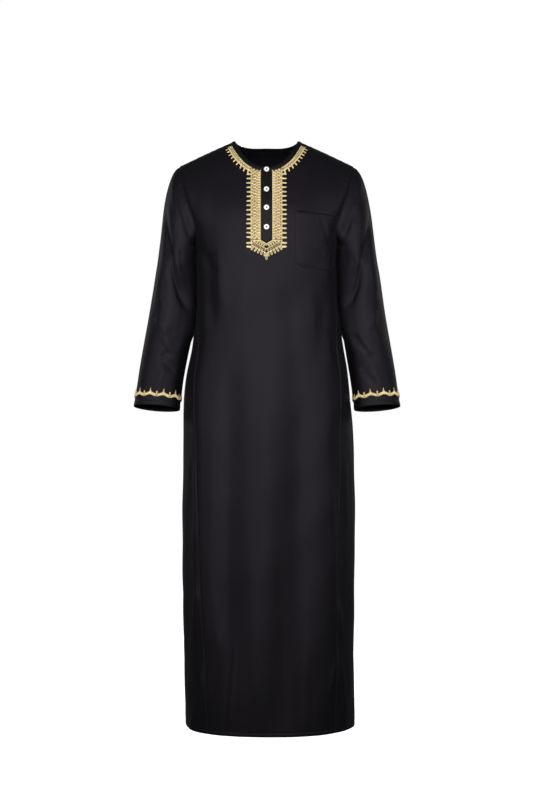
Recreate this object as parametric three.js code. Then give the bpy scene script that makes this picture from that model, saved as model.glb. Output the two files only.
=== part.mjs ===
// A man's thobe, hollow as it hangs on a wearer: an ankle-length robe with long sleeves, a round
// neck, a buttoned placket framed by gold embroidery, and one chest pocket.
//
// Millimetres, +Z up. The origin is midway between the two points where the shoulder seams meet
// the neck. The front faces -Y, and +X is the wearer's left.

import * as THREE from 'three';

// ------------------------------------------------------------------ sizes

const hemLevel = -1405;          // the hem, below the neck points
const underarmLevel = -250;      // where the armholes end and the side panels begin
const wall = 1.5;                // the cloth
const seamGap = 0.3;             // between two pieces that are sewn together
const layGap = 0.6;              // under a piece that lies on a panel
const bodyRoundness = 2.6;       // exponent of the rounded oblong that the body has at each level

const neck = { halfWidth: 75, front: 89, back: 62, roundness: 2.35 };
const shoulder = { slope: 0.5, blend: 60, tip: 210.5, drop: 200 };
const binding = { width: 11, crown: 1.2, thickness: 2.4 };
const placket = { halfWidth: 13, shoulderLevel: -243, tipLevel: -250, thickness: 1.6 };
const strip = { width: 24, toothLength: 9.5, toothWidth: 5, pitch: 10.4, teeth: 15, thickness: 1.3 };
const neckBand = { width: 11, toothLength: 7.5, toothWidth: 4.6, toothTip: 2, teeth: 9, startTurn: 69 };
const vee = { outerLevel: -259, tipLevel: -281, tipHalfWidth: 2.4, spokeLength: 8, sideCells: 3, cells: 9 };
const pocket = {
  left: 68, top: -174, width: 96, height: 128, lean: 6, taper: 0.08, corner: 14, thickness: 1.4,
};
const button = {
  radius: 6.2, thickness: 2.4, holeRadius: 0.8, holeSpread: 2.2, levels: [-77, -125, -168, -213],
};
const cuffBraid = { aboveEdge: 26, band: 6, waves: 11, swing: 2.2, spire: 10.5, peg: 8, thickness: 1.3 };

const gridSize = {
  panelColumns: 24, neckColumns: 10, skirtRows: 14, chestRows: 10, sideColumns: 6,
  sleeveRows: 19, armRows: 6, placketColumns: 4, placketRows: 12, pocketColumns: 8, pocketRows: 5,
};

const table = (columns, ...rows) => rows.map(
  (row) => Object.fromEntries(columns.map((column, i) => [column, row[i]])));

// Half widths to the wearer's right (-X) and left (+X), and depths to the front and the back.
const bodySections = table(
  ['z', 'right', 'left', 'front', 'back'],
  [40, 234, 234, 104, 122],
  [-62, 228, 228, 108, 121],
  [-90, 222, 222, 111, 120],
  [-130, 212, 212, 118, 120],
  [-170, 196, 196, 126, 121],
  [-215, 179, 180, 133, 122],
  [-250, 174, 175, 136, 122],
  [-293, 172, 172, 137, 120],
  [-356, 171, 172, 136, 118],
  [-409, 172, 176, 136, 118],
  [-491, 181, 185, 138, 122],
  [-564, 195, 196, 142, 128],
  [-661, 201, 204, 146, 134],
  [-806, 201, 209, 150, 140],
  [-1106, 202, 210, 158, 150],
  [-1241, 201, 212, 162, 155],
  [-1387, 197, 213, 165, 160],
  [-1405, 195, 212, 165, 160]);

// Where the side panels meet the front and the back, as degrees round from the centre front
// and from the centre back.
const sideSeams = table(
  ['z', 'frontRight', 'frontLeft', 'backRight', 'backLeft'],
  [-250, 82, 82, 82, 82],
  [-330, 74, 74, 76, 76],
  [-480, 63, 64, 66, 66],
  [-660, 53, 55, 58, 58],
  [-869, 48.4, 50, 52, 52],
  [-1091, 44.4, 48, 48, 48],
  [-1267, 40.5, 46.6, 46, 46],
  [-1405, 40, 45, 45, 45]);

// The armhole edge, as degrees round, against the distance down from the shoulder seam.
const armhole = table(
  ['down', 'front', 'back'],
  [0, 64.3, 64.3],
  [50, 62, 63.2],
  [100, 61, 63],
  [150, 60.8, 63.5],
  [200, 61.5, 65],
  [250, 64, 68],
  [290, 67.5, 72],
  [306, 72, 75],
  [320, 82, 82]);

// The sleeve below the armhole: its middle line, half width across and half depth, for the
// wearer's left sleeve. forward is how far the middle line lies in front of the shoulder seam.
const sleeveSections = table(
  ['z', 'middle', 'forward', 'halfWidth', 'halfDepth'],
  [-300, 221.5, -6, 43.5, 77],
  [-350, 226.5, -8, 47, 73],
  [-397, 231, -6, 51, 69],
  [-491, 245, 6, 52.5, 62],
  [-560, 255.5, 18, 53, 55],
  [-602, 261.5, 26, 53, 50],
  [-640, 266.5, 33, 53, 46]);
// The rings tip: their outer side and, towards the cuff, their front lie higher. Both sleeves
// hang from a body whose middle is shifted a little to the wearer's left.
const sleeveLean = { sideRise: 0.08, cuffRise: 10, cuffRiseStarts: 480, cuff: 640, shift: 1.2 };

// How the cloth stands clear of the armhole, leaves it, and arrives at the first whole ring:
// directions, and reaches in mm at the underarm with what the outer line has beyond them.
const sleeveHead = {
  clear: 0.72, leaveOut: 0.9, leaveDown: 0.42, leaveReach: 25, outerReach: 105,
  arriveOut: 0.13, arriveDown: 0.99, arriveShare: 0.75,
};
const foldFade = { rows: 2, flatEnough: 0.1, flatFully: 0.6, cuffStarts: 570, cuffEnds: 610 };

// Folds run from (x0, z0) to (x1, z1) as seen from the front, bowed sideways by bow. A ridge has a
// positive height and a trough a negative one, and width is its reach to each side.
const foldColumns = ['x0', 'z0', 'x1', 'z1', 'bow', 'width', 'height'];
const bodyFolds = {
  front: table(
    foldColumns,
    [-14, -480, -2, -1460, -6, 44, 8],
    [-70, -600, -66, -1250, 4, 25, -8],
    [66, -700, 64, -1260, -4, 24, -7],
    [-126, -520, -118, -1230, 0, 33, 5],
    [119, -520, 110, -1200, 0, 33, 5],
    [-90, -1120, -104, -1480, 3, 18, 5],
    [-140, -235, -118, -470, -8, 16, -5],
    [-108, -250, -92, -420, -6, 12, 3],
    [136, -310, 122, -560, 6, 17, -4],
    [52, -330, 64, -640, 6, 20, -3]),
  back: table(
    foldColumns,
    [4, -420, -6, -1440, 8, 42, 8],
    [-64, -560, -72, -1330, -6, 24, -9],
    [70, -500, 62, -1290, 6, 25, -8],
    [-128, -470, -120, -1440, 5, 30, 7],
    [132, -540, 126, -1380, -4, 32, 6],
    [-100, -190, -44, -470, -14, 18, -5],
    [96, -200, 40, -440, 14, 17, -5],
    [-30, -380, 24, -470, 10, 14, -4]),
};
const sleeveFolds = {
  front: table(
    foldColumns,
    [239, -165, 184, -425, 15, 13, -8],
    [212, -95, 172, -250, 8, 9, -5],
    [262, -230, 252, -470, 4, 15, 4],
    [252, -498, 214, -560, 4, 13, -5],
    [246, -330, 282, -470, -4, 13, -3]),
  back: table(
    foldColumns,
    [240, -180, 190, -440, 12, 14, -8],
    [214, -100, 174, -250, 8, 9, -5],
    [285, -330, 220, -445, -6, 13, -6],
    [292, -400, 222, -500, -6, 13, -5],
    [264, -230, 274, -390, 4, 14, 4]),
};

const colours = {
  cloth: { color: 0x26242a, roughness: 0.62, metalness: 0 },
  gold: { color: 0xd9b46a, roughness: 0.45, metalness: 0.1 },
  button: { color: 0xf2f1ee, roughness: 0.3, metalness: 0 },
};

// ------------------------------------------------------------------ small helpers

const degrees = THREE.MathUtils.degToRad;
const smooth = THREE.MathUtils.smoothstep;
const signedPower = (value, power) => Math.sign(value) * Math.abs(value) ** power;
const range = (count) => Array.from({ length: count }, (_, i) => i);

/** Reads one column of a table at a place between its rows, along a smooth curve. */
function readTable(rows, by, name, at) {
  const last = rows.length - 1;
  const rising = rows[last][by] > rows[0][by];
  let i = 0;
  while (i < last - 1 && (rising ? at > rows[i + 1][by] : at < rows[i + 1][by])) i++;
  const slope = (k) => {
    const a = Math.max(k - 1, 0);
    const b = Math.min(k + 1, last);
    return (rows[b][name] - rows[a][name]) / (rows[b][by] - rows[a][by]);
  };
  const span = rows[i + 1][by] - rows[i][by];
  const t = THREE.MathUtils.clamp((at - rows[i][by]) / span, 0, 1);
  return rows[i][name] * (2 * t ** 3 - 3 * t ** 2 + 1)
    + rows[i + 1][name] * (3 * t ** 2 - 2 * t ** 3)
    + slope(i) * span * (t ** 3 - 2 * t ** 2 + t)
    + slope(i + 1) * span * (t ** 3 - t ** 2);
}

/** Height of all folds at a point seen from the front: each fades out sideways and at its ends. */
function foldHeight(folds, x, z) {
  let height = 0;
  for (const fold of folds) {
    const runX = fold.x1 - fold.x0;
    const runZ = fold.z1 - fold.z0;
    const length = Math.hypot(runX, runZ);
    const t = ((x - fold.x0) * runX + (z - fold.z0) * runZ) / length ** 2;
    if (t <= 0 || t >= 1) continue;
    const aside = ((x - fold.x0) * runZ - (z - fold.z0) * runX) / length + fold.bow * 4 * t * (1 - t);
    const fade = smooth(t, 0, 0.3) * smooth(1 - t, 0, 0.3);
    height += fold.height * fade * Math.exp(-((aside / fold.width) ** 2));
  }
  return height;
}

// ------------------------------------------------------------------ the form of the body

const ridgeLevel = (x) => shoulder.slope
  * (Math.hypot(neck.halfWidth, shoulder.blend) - Math.hypot(x, shoulder.blend));
const quarterTurn = shoulder.drop * Math.PI / 2;

/** How far below the shoulder ridge the cloth is, a distance down along it. */
function dropAt(down) {
  return down < quarterTurn
    ? shoulder.drop * (1 - Math.cos(down / shoulder.drop))
    : shoulder.drop + down - quarterTurn;
}

function downAt(drop) {
  return drop < shoulder.drop
    ? shoulder.drop * Math.acos(1 - drop / shoulder.drop)
    : quarterTurn + drop - shoulder.drop;
}

const roundIn = (down) => (down < quarterTurn ? Math.sin(down / shoulder.drop) : 1);
const halfWidthAt = (z, x) => readTable(bodySections, 'z', x < 0 ? 'right' : 'left', z);
const depthAt = (z, face) => readTable(bodySections, 'z', face, z);

/** The body at x, a distance down from the shoulder ridge. down is negative on the back. */
function plainPoint(x, down) {
  const z = ridgeLevel(x) - dropAt(Math.abs(down));
  const face = down < 0 ? 'back' : 'front';
  const inward = Math.max(0, 1 - Math.abs(x / halfWidthAt(z, x)) ** bodyRoundness) ** (1 / bodyRoundness);
  const depth = depthAt(z, face) * roundIn(Math.abs(down)) * inward;
  return new THREE.Vector3(x, down < 0 ? depth : -depth, z);
}

/** The same body by its angle round from the centre front, in radians, +90 degrees at +X. */
function plainPointRound(angle, down) {
  const across = signedPower(Math.sin(angle), 2 / bodyRoundness);
  const forward = signedPower(Math.cos(angle), 2 / bodyRoundness);
  let x = 0;
  let z = ridgeLevel(0) - dropAt(down);
  for (let pass = 0; pass < 8; pass++) {
    x = across * halfWidthAt(z, across);
    z = ridgeLevel(x) - dropAt(down);
  }
  const depth = depthAt(z, forward < 0 ? 'back' : 'front');
  return new THREE.Vector3(x, -forward * depth * roundIn(down), z);
}

function angleOf(x, down) {
  const z = ridgeLevel(x) - dropAt(down);
  const share = Math.min(1, Math.abs(x / halfWidthAt(z, x)));
  return Math.sign(x) * Math.asin(share ** (bodyRoundness / 2));
}

/** Raises a plain point by the folds there. lift moves it further out, off the cloth. */
function dressed(point, normal, lift) {
  const folds = normal.y < 0 ? bodyFolds.front : bodyFolds.back;
  const facing = smooth(Math.abs(normal.y), foldFade.flatEnough / 2, foldFade.flatFully);
  return point.clone().addScaledVector(normal, foldHeight(folds, point.x, point.z) * facing + lift);
}

const nudge = 0.5;

/** A point on the chest or back by x and the distance down, with its normal and wall. */
function onBody(x, down, lift = 0) {
  const side = down < 0 ? -1 : 1;
  const across = plainPoint(x + nudge, down).sub(plainPoint(x - nudge, down));
  const along = plainPoint(x, down + side * nudge).sub(plainPoint(x, down));
  const normal = along.cross(across).multiplyScalar(side).normalize();
  if (normal.y * side > 0 && Math.abs(down) > nudge) normal.negate();
  return { point: dressed(plainPoint(x, down), normal, lift), normal };
}

/** A point on the body by its angle and the distance down, with its normal. */
function onBodyRound(angle, down, lift = 0) {
  const turn = 0.004;
  const across = plainPointRound(angle + turn, down).sub(plainPointRound(angle - turn, down));
  const along = plainPointRound(angle, down + nudge).sub(plainPointRound(angle, Math.max(down - nudge, 0)));
  const normal = along.cross(across).normalize();
  return { point: dressed(plainPointRound(angle, down), normal, lift), normal };
}

const chestPoint = (x, z, lift = 0) => onBody(x, downAt(Math.max(0, ridgeLevel(x) - z)), lift);

/** The distance down at a level, for a given angle round. */
function downAtLevel(angle, z) {
  const x = signedPower(Math.sin(angle), 2 / bodyRoundness) * halfWidthAt(z, Math.sin(angle));
  return downAt(ridgeLevel(x) - z);
}

// ------------------------------------------------------------------ the neckline

/** The neck edge, by the turn round from the centre front in radians, as x and distance down. */
function neckEdge(turn) {
  const x = neck.halfWidth * signedPower(Math.sin(turn), 2 / neck.roundness);
  const forward = signedPower(Math.cos(turn), 2 / neck.roundness);
  const y = Math.abs(forward) * (forward > 0 ? neck.front : neck.back);
  let down = 100;
  for (let pass = 0; pass < 12; pass++) {
    const z = ridgeLevel(x) - dropAt(down);
    const inward = (1 - Math.abs(x / halfWidthAt(z, x)) ** bodyRoundness) ** (1 / bodyRoundness);
    const reach = depthAt(z, forward > 0 ? 'front' : 'back') * inward;
    down = shoulder.drop * Math.asin(Math.min(1, y / reach));
  }
  return { x, down: forward > 0 ? down : -down };
}

/** Walks from the neck edge straight out over the cloth by out millimetres. */
function fromNeck(turn, out) {
  const before = neckEdge(turn - 0.01);
  const after = neckEdge(turn + 0.01);
  const edge = plainPoint(after.x, after.down).sub(plainPoint(before.x, before.down));
  let { x, down } = neckEdge(turn);
  const heading = edge.cross(onBody(x, down).normal).normalize();
  if (heading.dot(plainPoint(x, down)) < 0) heading.negate();
  const steps = 5;
  for (let i = 0; i < steps; i++) {
    const perX = plainPoint(x + nudge, down).sub(plainPoint(x - nudge, down)).divideScalar(2 * nudge);
    const perDown = plainPoint(x, down + nudge).sub(plainPoint(x, down - nudge)).divideScalar(2 * nudge);
    const a = perX.dot(perX);
    const b = perX.dot(perDown);
    const c = perDown.dot(perDown);
    const p = heading.dot(perX) * out / steps;
    const q = heading.dot(perDown) * out / steps;
    x += (p * c - q * b) / (a * c - b * b);
    down += (q * a - p * b) / (a * c - b * b);
  }
  return { x, down };
}

// ------------------------------------------------------------------ making solids

const materials = Object.fromEntries(Object.entries(colours).map(([name, look]) => [
  name, () => new THREE.MeshStandardMaterial(look)]));

/** Joins a top sheet and a bottom sheet that share their triangles into one closed solid. */
function solidFromSheets(name, finish, tops, bottoms, triangles) {
  let facing = 0;
  for (const [a, b, c] of triangles) {
    const normal = tops[b].clone().sub(tops[a]).cross(tops[c].clone().sub(tops[a]));
    facing += normal.dot(tops[a].clone().sub(bottoms[a]));
  }
  const outward = facing > 0 ? triangles : triangles.map(([a, b, c]) => [a, c, b]);
  const positions = [];
  const addFace = (...corners) => corners.forEach((corner) => positions.push(...corner.toArray()));
  const edges = new Map();
  for (const [a, b, c] of outward) {
    addFace(tops[a], tops[b], tops[c]);
    addFace(bottoms[a], bottoms[c], bottoms[b]);
    for (const [from, to] of [[a, b], [b, c], [c, a]]) {
      if (!edges.delete(`${to} ${from}`)) edges.set(`${from} ${to}`, [from, to]);
    }
  }
  for (const [from, to] of edges.values()) {
    addFace(tops[from], bottoms[from], bottoms[to]);
    addFace(tops[from], bottoms[to], tops[to]);
  }
  const geometry = new THREE.BufferGeometry();
  geometry.setAttribute('position', new THREE.Float32BufferAttribute(positions, 3));
  geometry.computeVertexNormals();
  const mesh = new THREE.Mesh(geometry, materials[finish]());
  mesh.name = name;
  return mesh;
}

/** Triangles of a grid whose points are listed row by row. Either way can close into a ring. */
function gridTriangles(columns, rows, { ringColumns = false, ringRows = false } = {}) {
  const triangles = [];
  for (let row = 0; row < (ringRows ? rows : rows - 1); row++) {
    const here = row * columns;
    const below = ((row + 1) % rows) * columns;
    for (let column = 0; column < (ringColumns ? columns : columns - 1); column++) {
      const next = (column + 1) % columns;
      triangles.push([here + column, here + next, below + next]);
      triangles.push([here + column, below + next, below + column]);
    }
  }
  return triangles;
}

/** A cloth wall from rows of points with normals. */
function clothWall(name, rows, { ringColumns = false, thickness = wall } = {}) {
  const places = rows.flat();
  return solidFromSheets(
    name, 'cloth',
    places.map(({ point }) => point),
    places.map(({ point, normal }) => point.clone().addScaledVector(normal, -thickness)),
    gridTriangles(rows[0].length, rows.length, { ringColumns }));
}

/** Draws both edges of each row back from its seams, by half the gap. */
function drawBack(rows) {
  for (const row of rows) {
    for (const [edge, neighbour] of [[row[0], row[1]], [row[row.length - 1], row[row.length - 2]]]) {
      const inward = neighbour.point.clone().sub(edge.point).normalize();
      edge.point.addScaledVector(inward, seamGap / 2);
    }
  }
  return rows;
}

// ------------------------------------------------------------------ the panels

/** The seam or armhole angle, from the centre of the front or the back, on one side. */
const seamAngle = (face, side, z) => degrees(
  readTable(sideSeams, 'z', `${face}${side < 0 ? 'Right' : 'Left'}`, z));
const armholeAngle = (face, down) => degrees(readTable(armhole, 'down', face, down));

/** From an angle off the centre of the front or the back to an angle round the body. */
const roundFrom = (face, angle) => (face === 'front' ? angle : Math.PI - angle);

const skirtLevels = range(gridSize.skirtRows + 1).map(
  (i) => hemLevel + (underarmLevel - hemLevel) * i / gridSize.skirtRows);
const neckShare = gridSize.neckColumns / gridSize.panelColumns;   // these end at the neck

/** Where a column of a panel ends: at the neck binding, or at the shoulder seam. */
function columnTop(face, share) {
  const off = Math.abs(share);
  if (off < neckShare) {
    const turn = roundFrom(face, (Math.PI / 2) * (off / neckShare));
    const { x, down } = fromNeck(turn, binding.width + seamGap / 2);
    return { x, down: Math.abs(down) };
  }
  const edge = fromNeck(Math.PI / 2, binding.width + seamGap / 2).x;
  const x = THREE.MathUtils.lerp(edge, shoulder.tip, (off - neckShare) / (1 - neckShare));
  return { x, down: 2 * seamGap };
}

/** One point of the front or the back above the underarm. share is -1 to 1, rise 0 to 1. */
function chestPlace(face, share, rise) {
  const side = share < 0 ? -1 : 1;
  const top = columnTop(face, share);
  const lowAngle = Math.abs(share) * seamAngle(face, side, underarmLevel);
  const lowDown = downAtLevel(side * roundFrom(face, lowAngle), underarmLevel);
  const edgeDown = downAtLevel(side * roundFrom(face, seamAngle(face, side, underarmLevel)), underarmLevel);
  const edgeAngle = rise > 0
    ? armholeAngle(face, edgeDown * (1 - rise)) : seamAngle(face, side, underarmLevel);
  const topAngle = angleOf(top.x, top.down);
  const angle = Math.abs(share) * edgeAngle
    + rise ** 2 * (topAngle - Math.abs(share) * armholeAngle(face, 0));
  const down = THREE.MathUtils.lerp(lowDown, top.down, rise);
  return onBodyRound(side * roundFrom(face, angle), down);
}

function panelRows(face) {
  const shares = range(gridSize.panelColumns + 1).map((i) => 2 * i / gridSize.panelColumns - 1);
  const skirt = skirtLevels.map((z) => shares.map((share) => {
    const side = share < 0 ? -1 : 1;
    const angle = side * roundFrom(face, Math.abs(share) * seamAngle(face, side, z));
    return onBodyRound(angle, downAtLevel(angle, z));
  }));
  const chest = range(gridSize.chestRows).map(
    (i) => shares.map((share) => chestPlace(face, share, (i + 1) / gridSize.chestRows)));
  return [...skirt, ...chest];
}

const panel = (name, face) => clothWall(name, drawBack(panelRows(face)));

function sidePanelRows(side) {
  return skirtLevels.map((z) => range(gridSize.sideColumns + 1).map((i) => {
    const start = seamAngle('front', side, z);
    const end = Math.PI - seamAngle('back', side, z);
    const angle = side * THREE.MathUtils.lerp(start, end, i / gridSize.sideColumns);
    return onBodyRound(angle, downAtLevel(angle, z));
  }));
}

const sidePanel = (name, side) => clothWall(name, drawBack(sidePanelRows(side)));

// ------------------------------------------------------------------ the sleeves

/** The armhole as a loop: down the front edge, along the side panel's top, up the back edge. */
function armholeLoop(side) {
  const edge = (face) => range(gridSize.chestRows).map(
    (i) => chestPlace(face, side, 1 - (i + 1) / gridSize.chestRows));
  const sideTop = sidePanelRows(side)[gridSize.skirtRows];
  const tip = onBodyRound(side * degrees(armhole[0].front), 0);
  return [tip, ...edge('front'), sideTop[gridSize.sideColumns / 2], ...edge('back').reverse()];
}

/** A point of the lower sleeve at a level, by the turn round from its outer line to the front. */
function lowerSleevePoint(side, z, turn) {
  const at = (column) => readTable(sleeveSections, 'z', column, z);
  const across = Math.cos(turn);
  const forward = Math.sin(turn);
  const cuffShare = smooth(-z, sleeveLean.cuffRiseStarts, sleeveLean.cuff);
  return new THREE.Vector3(
    side * (at('middle') + across * at('halfWidth')) + sleeveLean.shift,
    -at('forward') - forward * at('halfDepth'),
    z + cuffShare * sleeveLean.cuffRise * forward + across * at('halfWidth') * sleeveLean.sideRise);
}

/** Points of the upper sleeve run on curves from the armhole to the first whole ring. */
function upperSleevePoint(side, start, end, turn, t) {
  const length = start.distanceTo(end);
  const outer = (1 + Math.cos(turn)) / 2;
  const leave = new THREE.Vector3(side * sleeveHead.leaveOut, 0, -sleeveHead.leaveDown * outer)
    .multiplyScalar(sleeveHead.leaveReach + sleeveHead.outerReach * outer);
  const arrive = new THREE.Vector3(side * sleeveHead.arriveOut, 0, -sleeveHead.arriveDown)
    .multiplyScalar(length * THREE.MathUtils.lerp(sleeveHead.arriveShare, 1, outer));
  return start.clone().multiplyScalar(2 * t ** 3 - 3 * t ** 2 + 1)
    .addScaledVector(leave, t ** 3 - 2 * t ** 2 + t)
    .addScaledVector(end, 3 * t ** 2 - 2 * t ** 3)
    .addScaledVector(arrive, t ** 3 - t ** 2);
}

/** Turns round the sleeve for each loop point, even along the loop on the front and the back. */
function loopTurns(loop) {
  const half = loop.length / 2;
  const lengths = loop.map(({ point }, i) => point.distanceTo(loop[(i + 1) % loop.length].point));
  const turns = [0];
  for (const start of [0, half]) {
    const part = lengths.slice(start, start + half);
    const whole = part.reduce((sum, length) => sum + length, 0);
    let gone = 0;
    for (const length of part) {
      gone += length;
      turns.push(Math.PI * (start / half + gone / whole));
    }
  }
  return turns.slice(0, -1);
}

function sleeveRows(side) {
  const loop = armholeLoop(side);
  const turns = loopTurns(loop);
  const [first, last] = [sleeveSections[0].z, sleeveSections[sleeveSections.length - 1].z];
  const plain = [];
  for (let row = 0; row <= gridSize.sleeveRows; row++) {
    if (row < gridSize.armRows) {
      const share = row / gridSize.armRows;
      plain.push(turns.map((turn, i) => {
        const start = loop[i].point.clone().add(new THREE.Vector3(side * sleeveHead.clear, 0, seamGap / 2));
        return upperSleevePoint(side, start, lowerSleevePoint(side, first, turn), turn, share);
      }));
    } else {
      const share = (row - gridSize.armRows) / (gridSize.sleeveRows - gridSize.armRows);
      const z = THREE.MathUtils.lerp(first, last, share);
      plain.push(turns.map((turn) => lowerSleevePoint(side, z, turn)));
    }
  }
  return plain.map((row, j) => row.map((point, i) => {
    const above = plain[Math.max(j - 1, 0)][i];
    const below = plain[Math.min(j + 1, plain.length - 1)][i];
    const before = row[(i + row.length - 1) % row.length];
    const after = row[(i + 1) % row.length];
    const normal = after.clone().sub(before).cross(below.clone().sub(above)).normalize()
      .multiplyScalar(side);
    const folds = normal.y < 0 ? sleeveFolds.front : sleeveFolds.back;
    const height = foldHeight(folds, side * (point.x - sleeveLean.shift), point.z)
      * smooth(j, 0, foldFade.rows)
      * smooth(Math.abs(normal.y), foldFade.flatEnough, foldFade.flatFully)
      * (1 - smooth(-point.z, foldFade.cuffStarts, foldFade.cuffEnds));
    return { point: point.clone().addScaledVector(normal, height), normal };
  }));
}

const sleeve = (name, side) => clothWall(name, sleeveRows(side), { ringColumns: true });

// ------------------------------------------------------------------ neck binding and placket

/** A rounded strip round the neck: its section is a low crown over the cloth's own wall. */
function neckBinding() {
  const section = table(['share', 'rise'], [0, -0.2], [0.25, 0.9], [0.75, 0.9], [1, 0]);
  const outer = section.length - 1;
  const stations = 2 * gridSize.neckColumns;
  const ring = (station) => section.map(({ share, rise }) => {
    const { x, down } = fromNeck(2 * Math.PI * station / stations, share * (binding.width - seamGap / 2));
    const { point, normal } = onBody(x, down);
    return {
      top: point.clone().addScaledVector(normal, rise * binding.crown),
      bottom: point.clone().addScaledVector(normal, binding.crown - binding.thickness),
    };
  });
  const middle = (from, to) => from.clone().lerp(to, 0.5);
  const rings = range(stations).flatMap((station) => {
    const [here, between, next] = [station, station + 0.5, station + 1].map(ring);
    // The outer edge runs straight between stations, as the panels' own edges do.
    between[outer] = {
      top: middle(here[outer].top, next[outer].top),
      bottom: middle(here[outer].bottom, next[outer].bottom),
    };
    return [here, between];
  });
  const places = rings.flat();
  return solidFromSheets(
    'neck_binding', 'cloth', places.map(({ top }) => top), places.map(({ bottom }) => bottom),
    gridTriangles(section.length, rings.length, { ringRows: true }));
}

/** The level of the binding's outer edge in front, at x. */
function bindingLevel(x) {
  let low = 0;
  let high = Math.PI / 2;
  for (let pass = 0; pass < 24; pass++) {
    const middle = (low + high) / 2;
    if (fromNeck(middle, binding.width).x < Math.abs(x)) low = middle; else high = middle;
  }
  const { x: edge, down } = fromNeck(low, binding.width);
  return plainPoint(edge, down).z;
}

function placketSolid() {
  const { placketRows: rows, placketColumns: columns } = gridSize;
  const places = range(rows + 1).map((row) => range(columns + 1).map((column) => {
    const share = 2 * column / columns - 1;
    const x = placket.halfWidth * share;
    const bottom = THREE.MathUtils.lerp(placket.tipLevel, placket.shoulderLevel, Math.abs(share));
    const z = THREE.MathUtils.lerp(bindingLevel(x) - 2 * seamGap, bottom, row / rows);
    return chestPoint(x, z, layGap + placket.thickness);
  }));
  return clothWall('placket', places, { thickness: placket.thickness });
}

// ------------------------------------------------------------------ gold embroidery

const toothShape = table(['reach', 'spread'], [0.72, 1], [1, 0.5]);   // full width, then the blunt tip

/** A flat band between two edges, with a blunt tooth on the outer edge of each cell named. */
function toothedBand(inner, outer, teeth) {
  const points = [...inner, ...outer];
  const count = inner.length;
  const triangles = gridTriangles(count, 2);
  for (const { cell, length } of teeth) {
    const [a, b] = [outer[cell], outer[cell + 1]];
    const middle = a.clone().lerp(b, 0.5);
    const run = b.clone().sub(a);
    const out = new THREE.Vector2(run.y, -run.x).normalize();
    const inward = inner[cell].clone().lerp(inner[cell + 1], 0.5).sub(middle);
    if (out.dot(inward) > 0) out.negate();
    const start = points.length;
    for (const { reach, spread } of toothShape) {
      for (const corner of [a, b]) {
        points.push(middle.clone().lerp(corner, spread).addScaledVector(out, reach * length));
      }
    }
    const root = count + cell;
    triangles.push([root, root + 1, start + 1], [root, start + 1, start]);
    triangles.push([start, start + 1, start + 3], [start, start + 3, start + 2]);
  }
  return { points, triangles };
}

/** Lays a flat shape on the cloth: place gives the cloth's point under each of its points. */
function raisedShape(name, { points, triangles }, place, thickness) {
  const tops = points.map((flat) => place(flat, layGap + thickness).point);
  const bottoms = points.map((flat) => place(flat, layGap).point);
  return solidFromSheets(name, 'gold', tops, bottoms, triangles);
}

const stripInner = placket.halfWidth + seamGap;
const stripOuter = placket.halfWidth + strip.width;

/** The upright strip beside the placket. Its flat points are x and the level. */
function stripShape(side) {
  const bottom = placket.shoulderLevel + seamGap;
  const top = bottom + strip.teeth * strip.pitch;
  const levels = [];
  for (let tooth = 0; tooth < strip.teeth; tooth++) {
    const middle = top - (tooth + 0.5) * strip.pitch;
    levels.push(middle + strip.toothWidth / 2, middle - strip.toothWidth / 2);
  }
  const line = (x) => [bindingLevel(x) - 2 * seamGap, ...levels, bottom].map(
    (z) => new THREE.Vector2(side * x, z));
  const teeth = range(strip.teeth).map((tooth) => ({ cell: 1 + 2 * tooth, length: strip.toothLength }));
  return toothedBand(line(stripInner), line(stripOuter), teeth);
}

/** The band round the neck. Its flat points are a distance along the binding and one outwards. */
function neckBandPlace(side) {
  let endTurn = 0;
  while (fromNeck(endTurn, binding.width).x < stripOuter + 2 * seamGap) endTurn += 0.002;
  const startTurn = degrees(neckBand.startTurn);
  const place = (flat, lift) => {
    const turn = THREE.MathUtils.lerp(startTurn, endTurn, flat.x);
    const { x, down } = fromNeck(turn, binding.width + 2 * seamGap + flat.y);
    return onBody(side * x, down, lift);
  };
  const start = place(new THREE.Vector2(0, 0), 0).point;
  const end = place(new THREE.Vector2(1, 0), 0).point;
  return { place, length: start.distanceTo(end) };
}

function neckBandShape(length) {
  const half = neckBand.toothWidth / 2 / length;
  const shares = range(neckBand.teeth).map((tooth) => (tooth + 0.5) / neckBand.teeth)
    .flatMap((middle) => [middle - half, middle + half]);
  const line = (out) => [0, ...shares, 1].map((share) => new THREE.Vector2(share, out));
  const { points, triangles } = toothedBand(line(0), line(neckBand.width), []);
  const count = shares.length + 2;
  // The last tooth is left off, where the upright strip's own corner is.
  for (let tooth = 0; tooth < neckBand.teeth - 1; tooth++) {
    const root = count + 1 + 2 * tooth;
    const start = points.length;
    const middle = (points[root].x + points[root + 1].x) / 2;
    for (const { reach, spread } of toothShape) {
      for (const end of [-half, half]) {
        const out = neckBand.width + reach * neckBand.toothLength;
        points.push(new THREE.Vector2(middle + spread * end, out));
      }
    }
    triangles.push([root, root + 1, start + 1], [root, start + 1, start]);
    triangles.push([start, start + 1, start + 3], [start, start + 3, start + 2]);
  }
  return { points, triangles };
}

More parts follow.
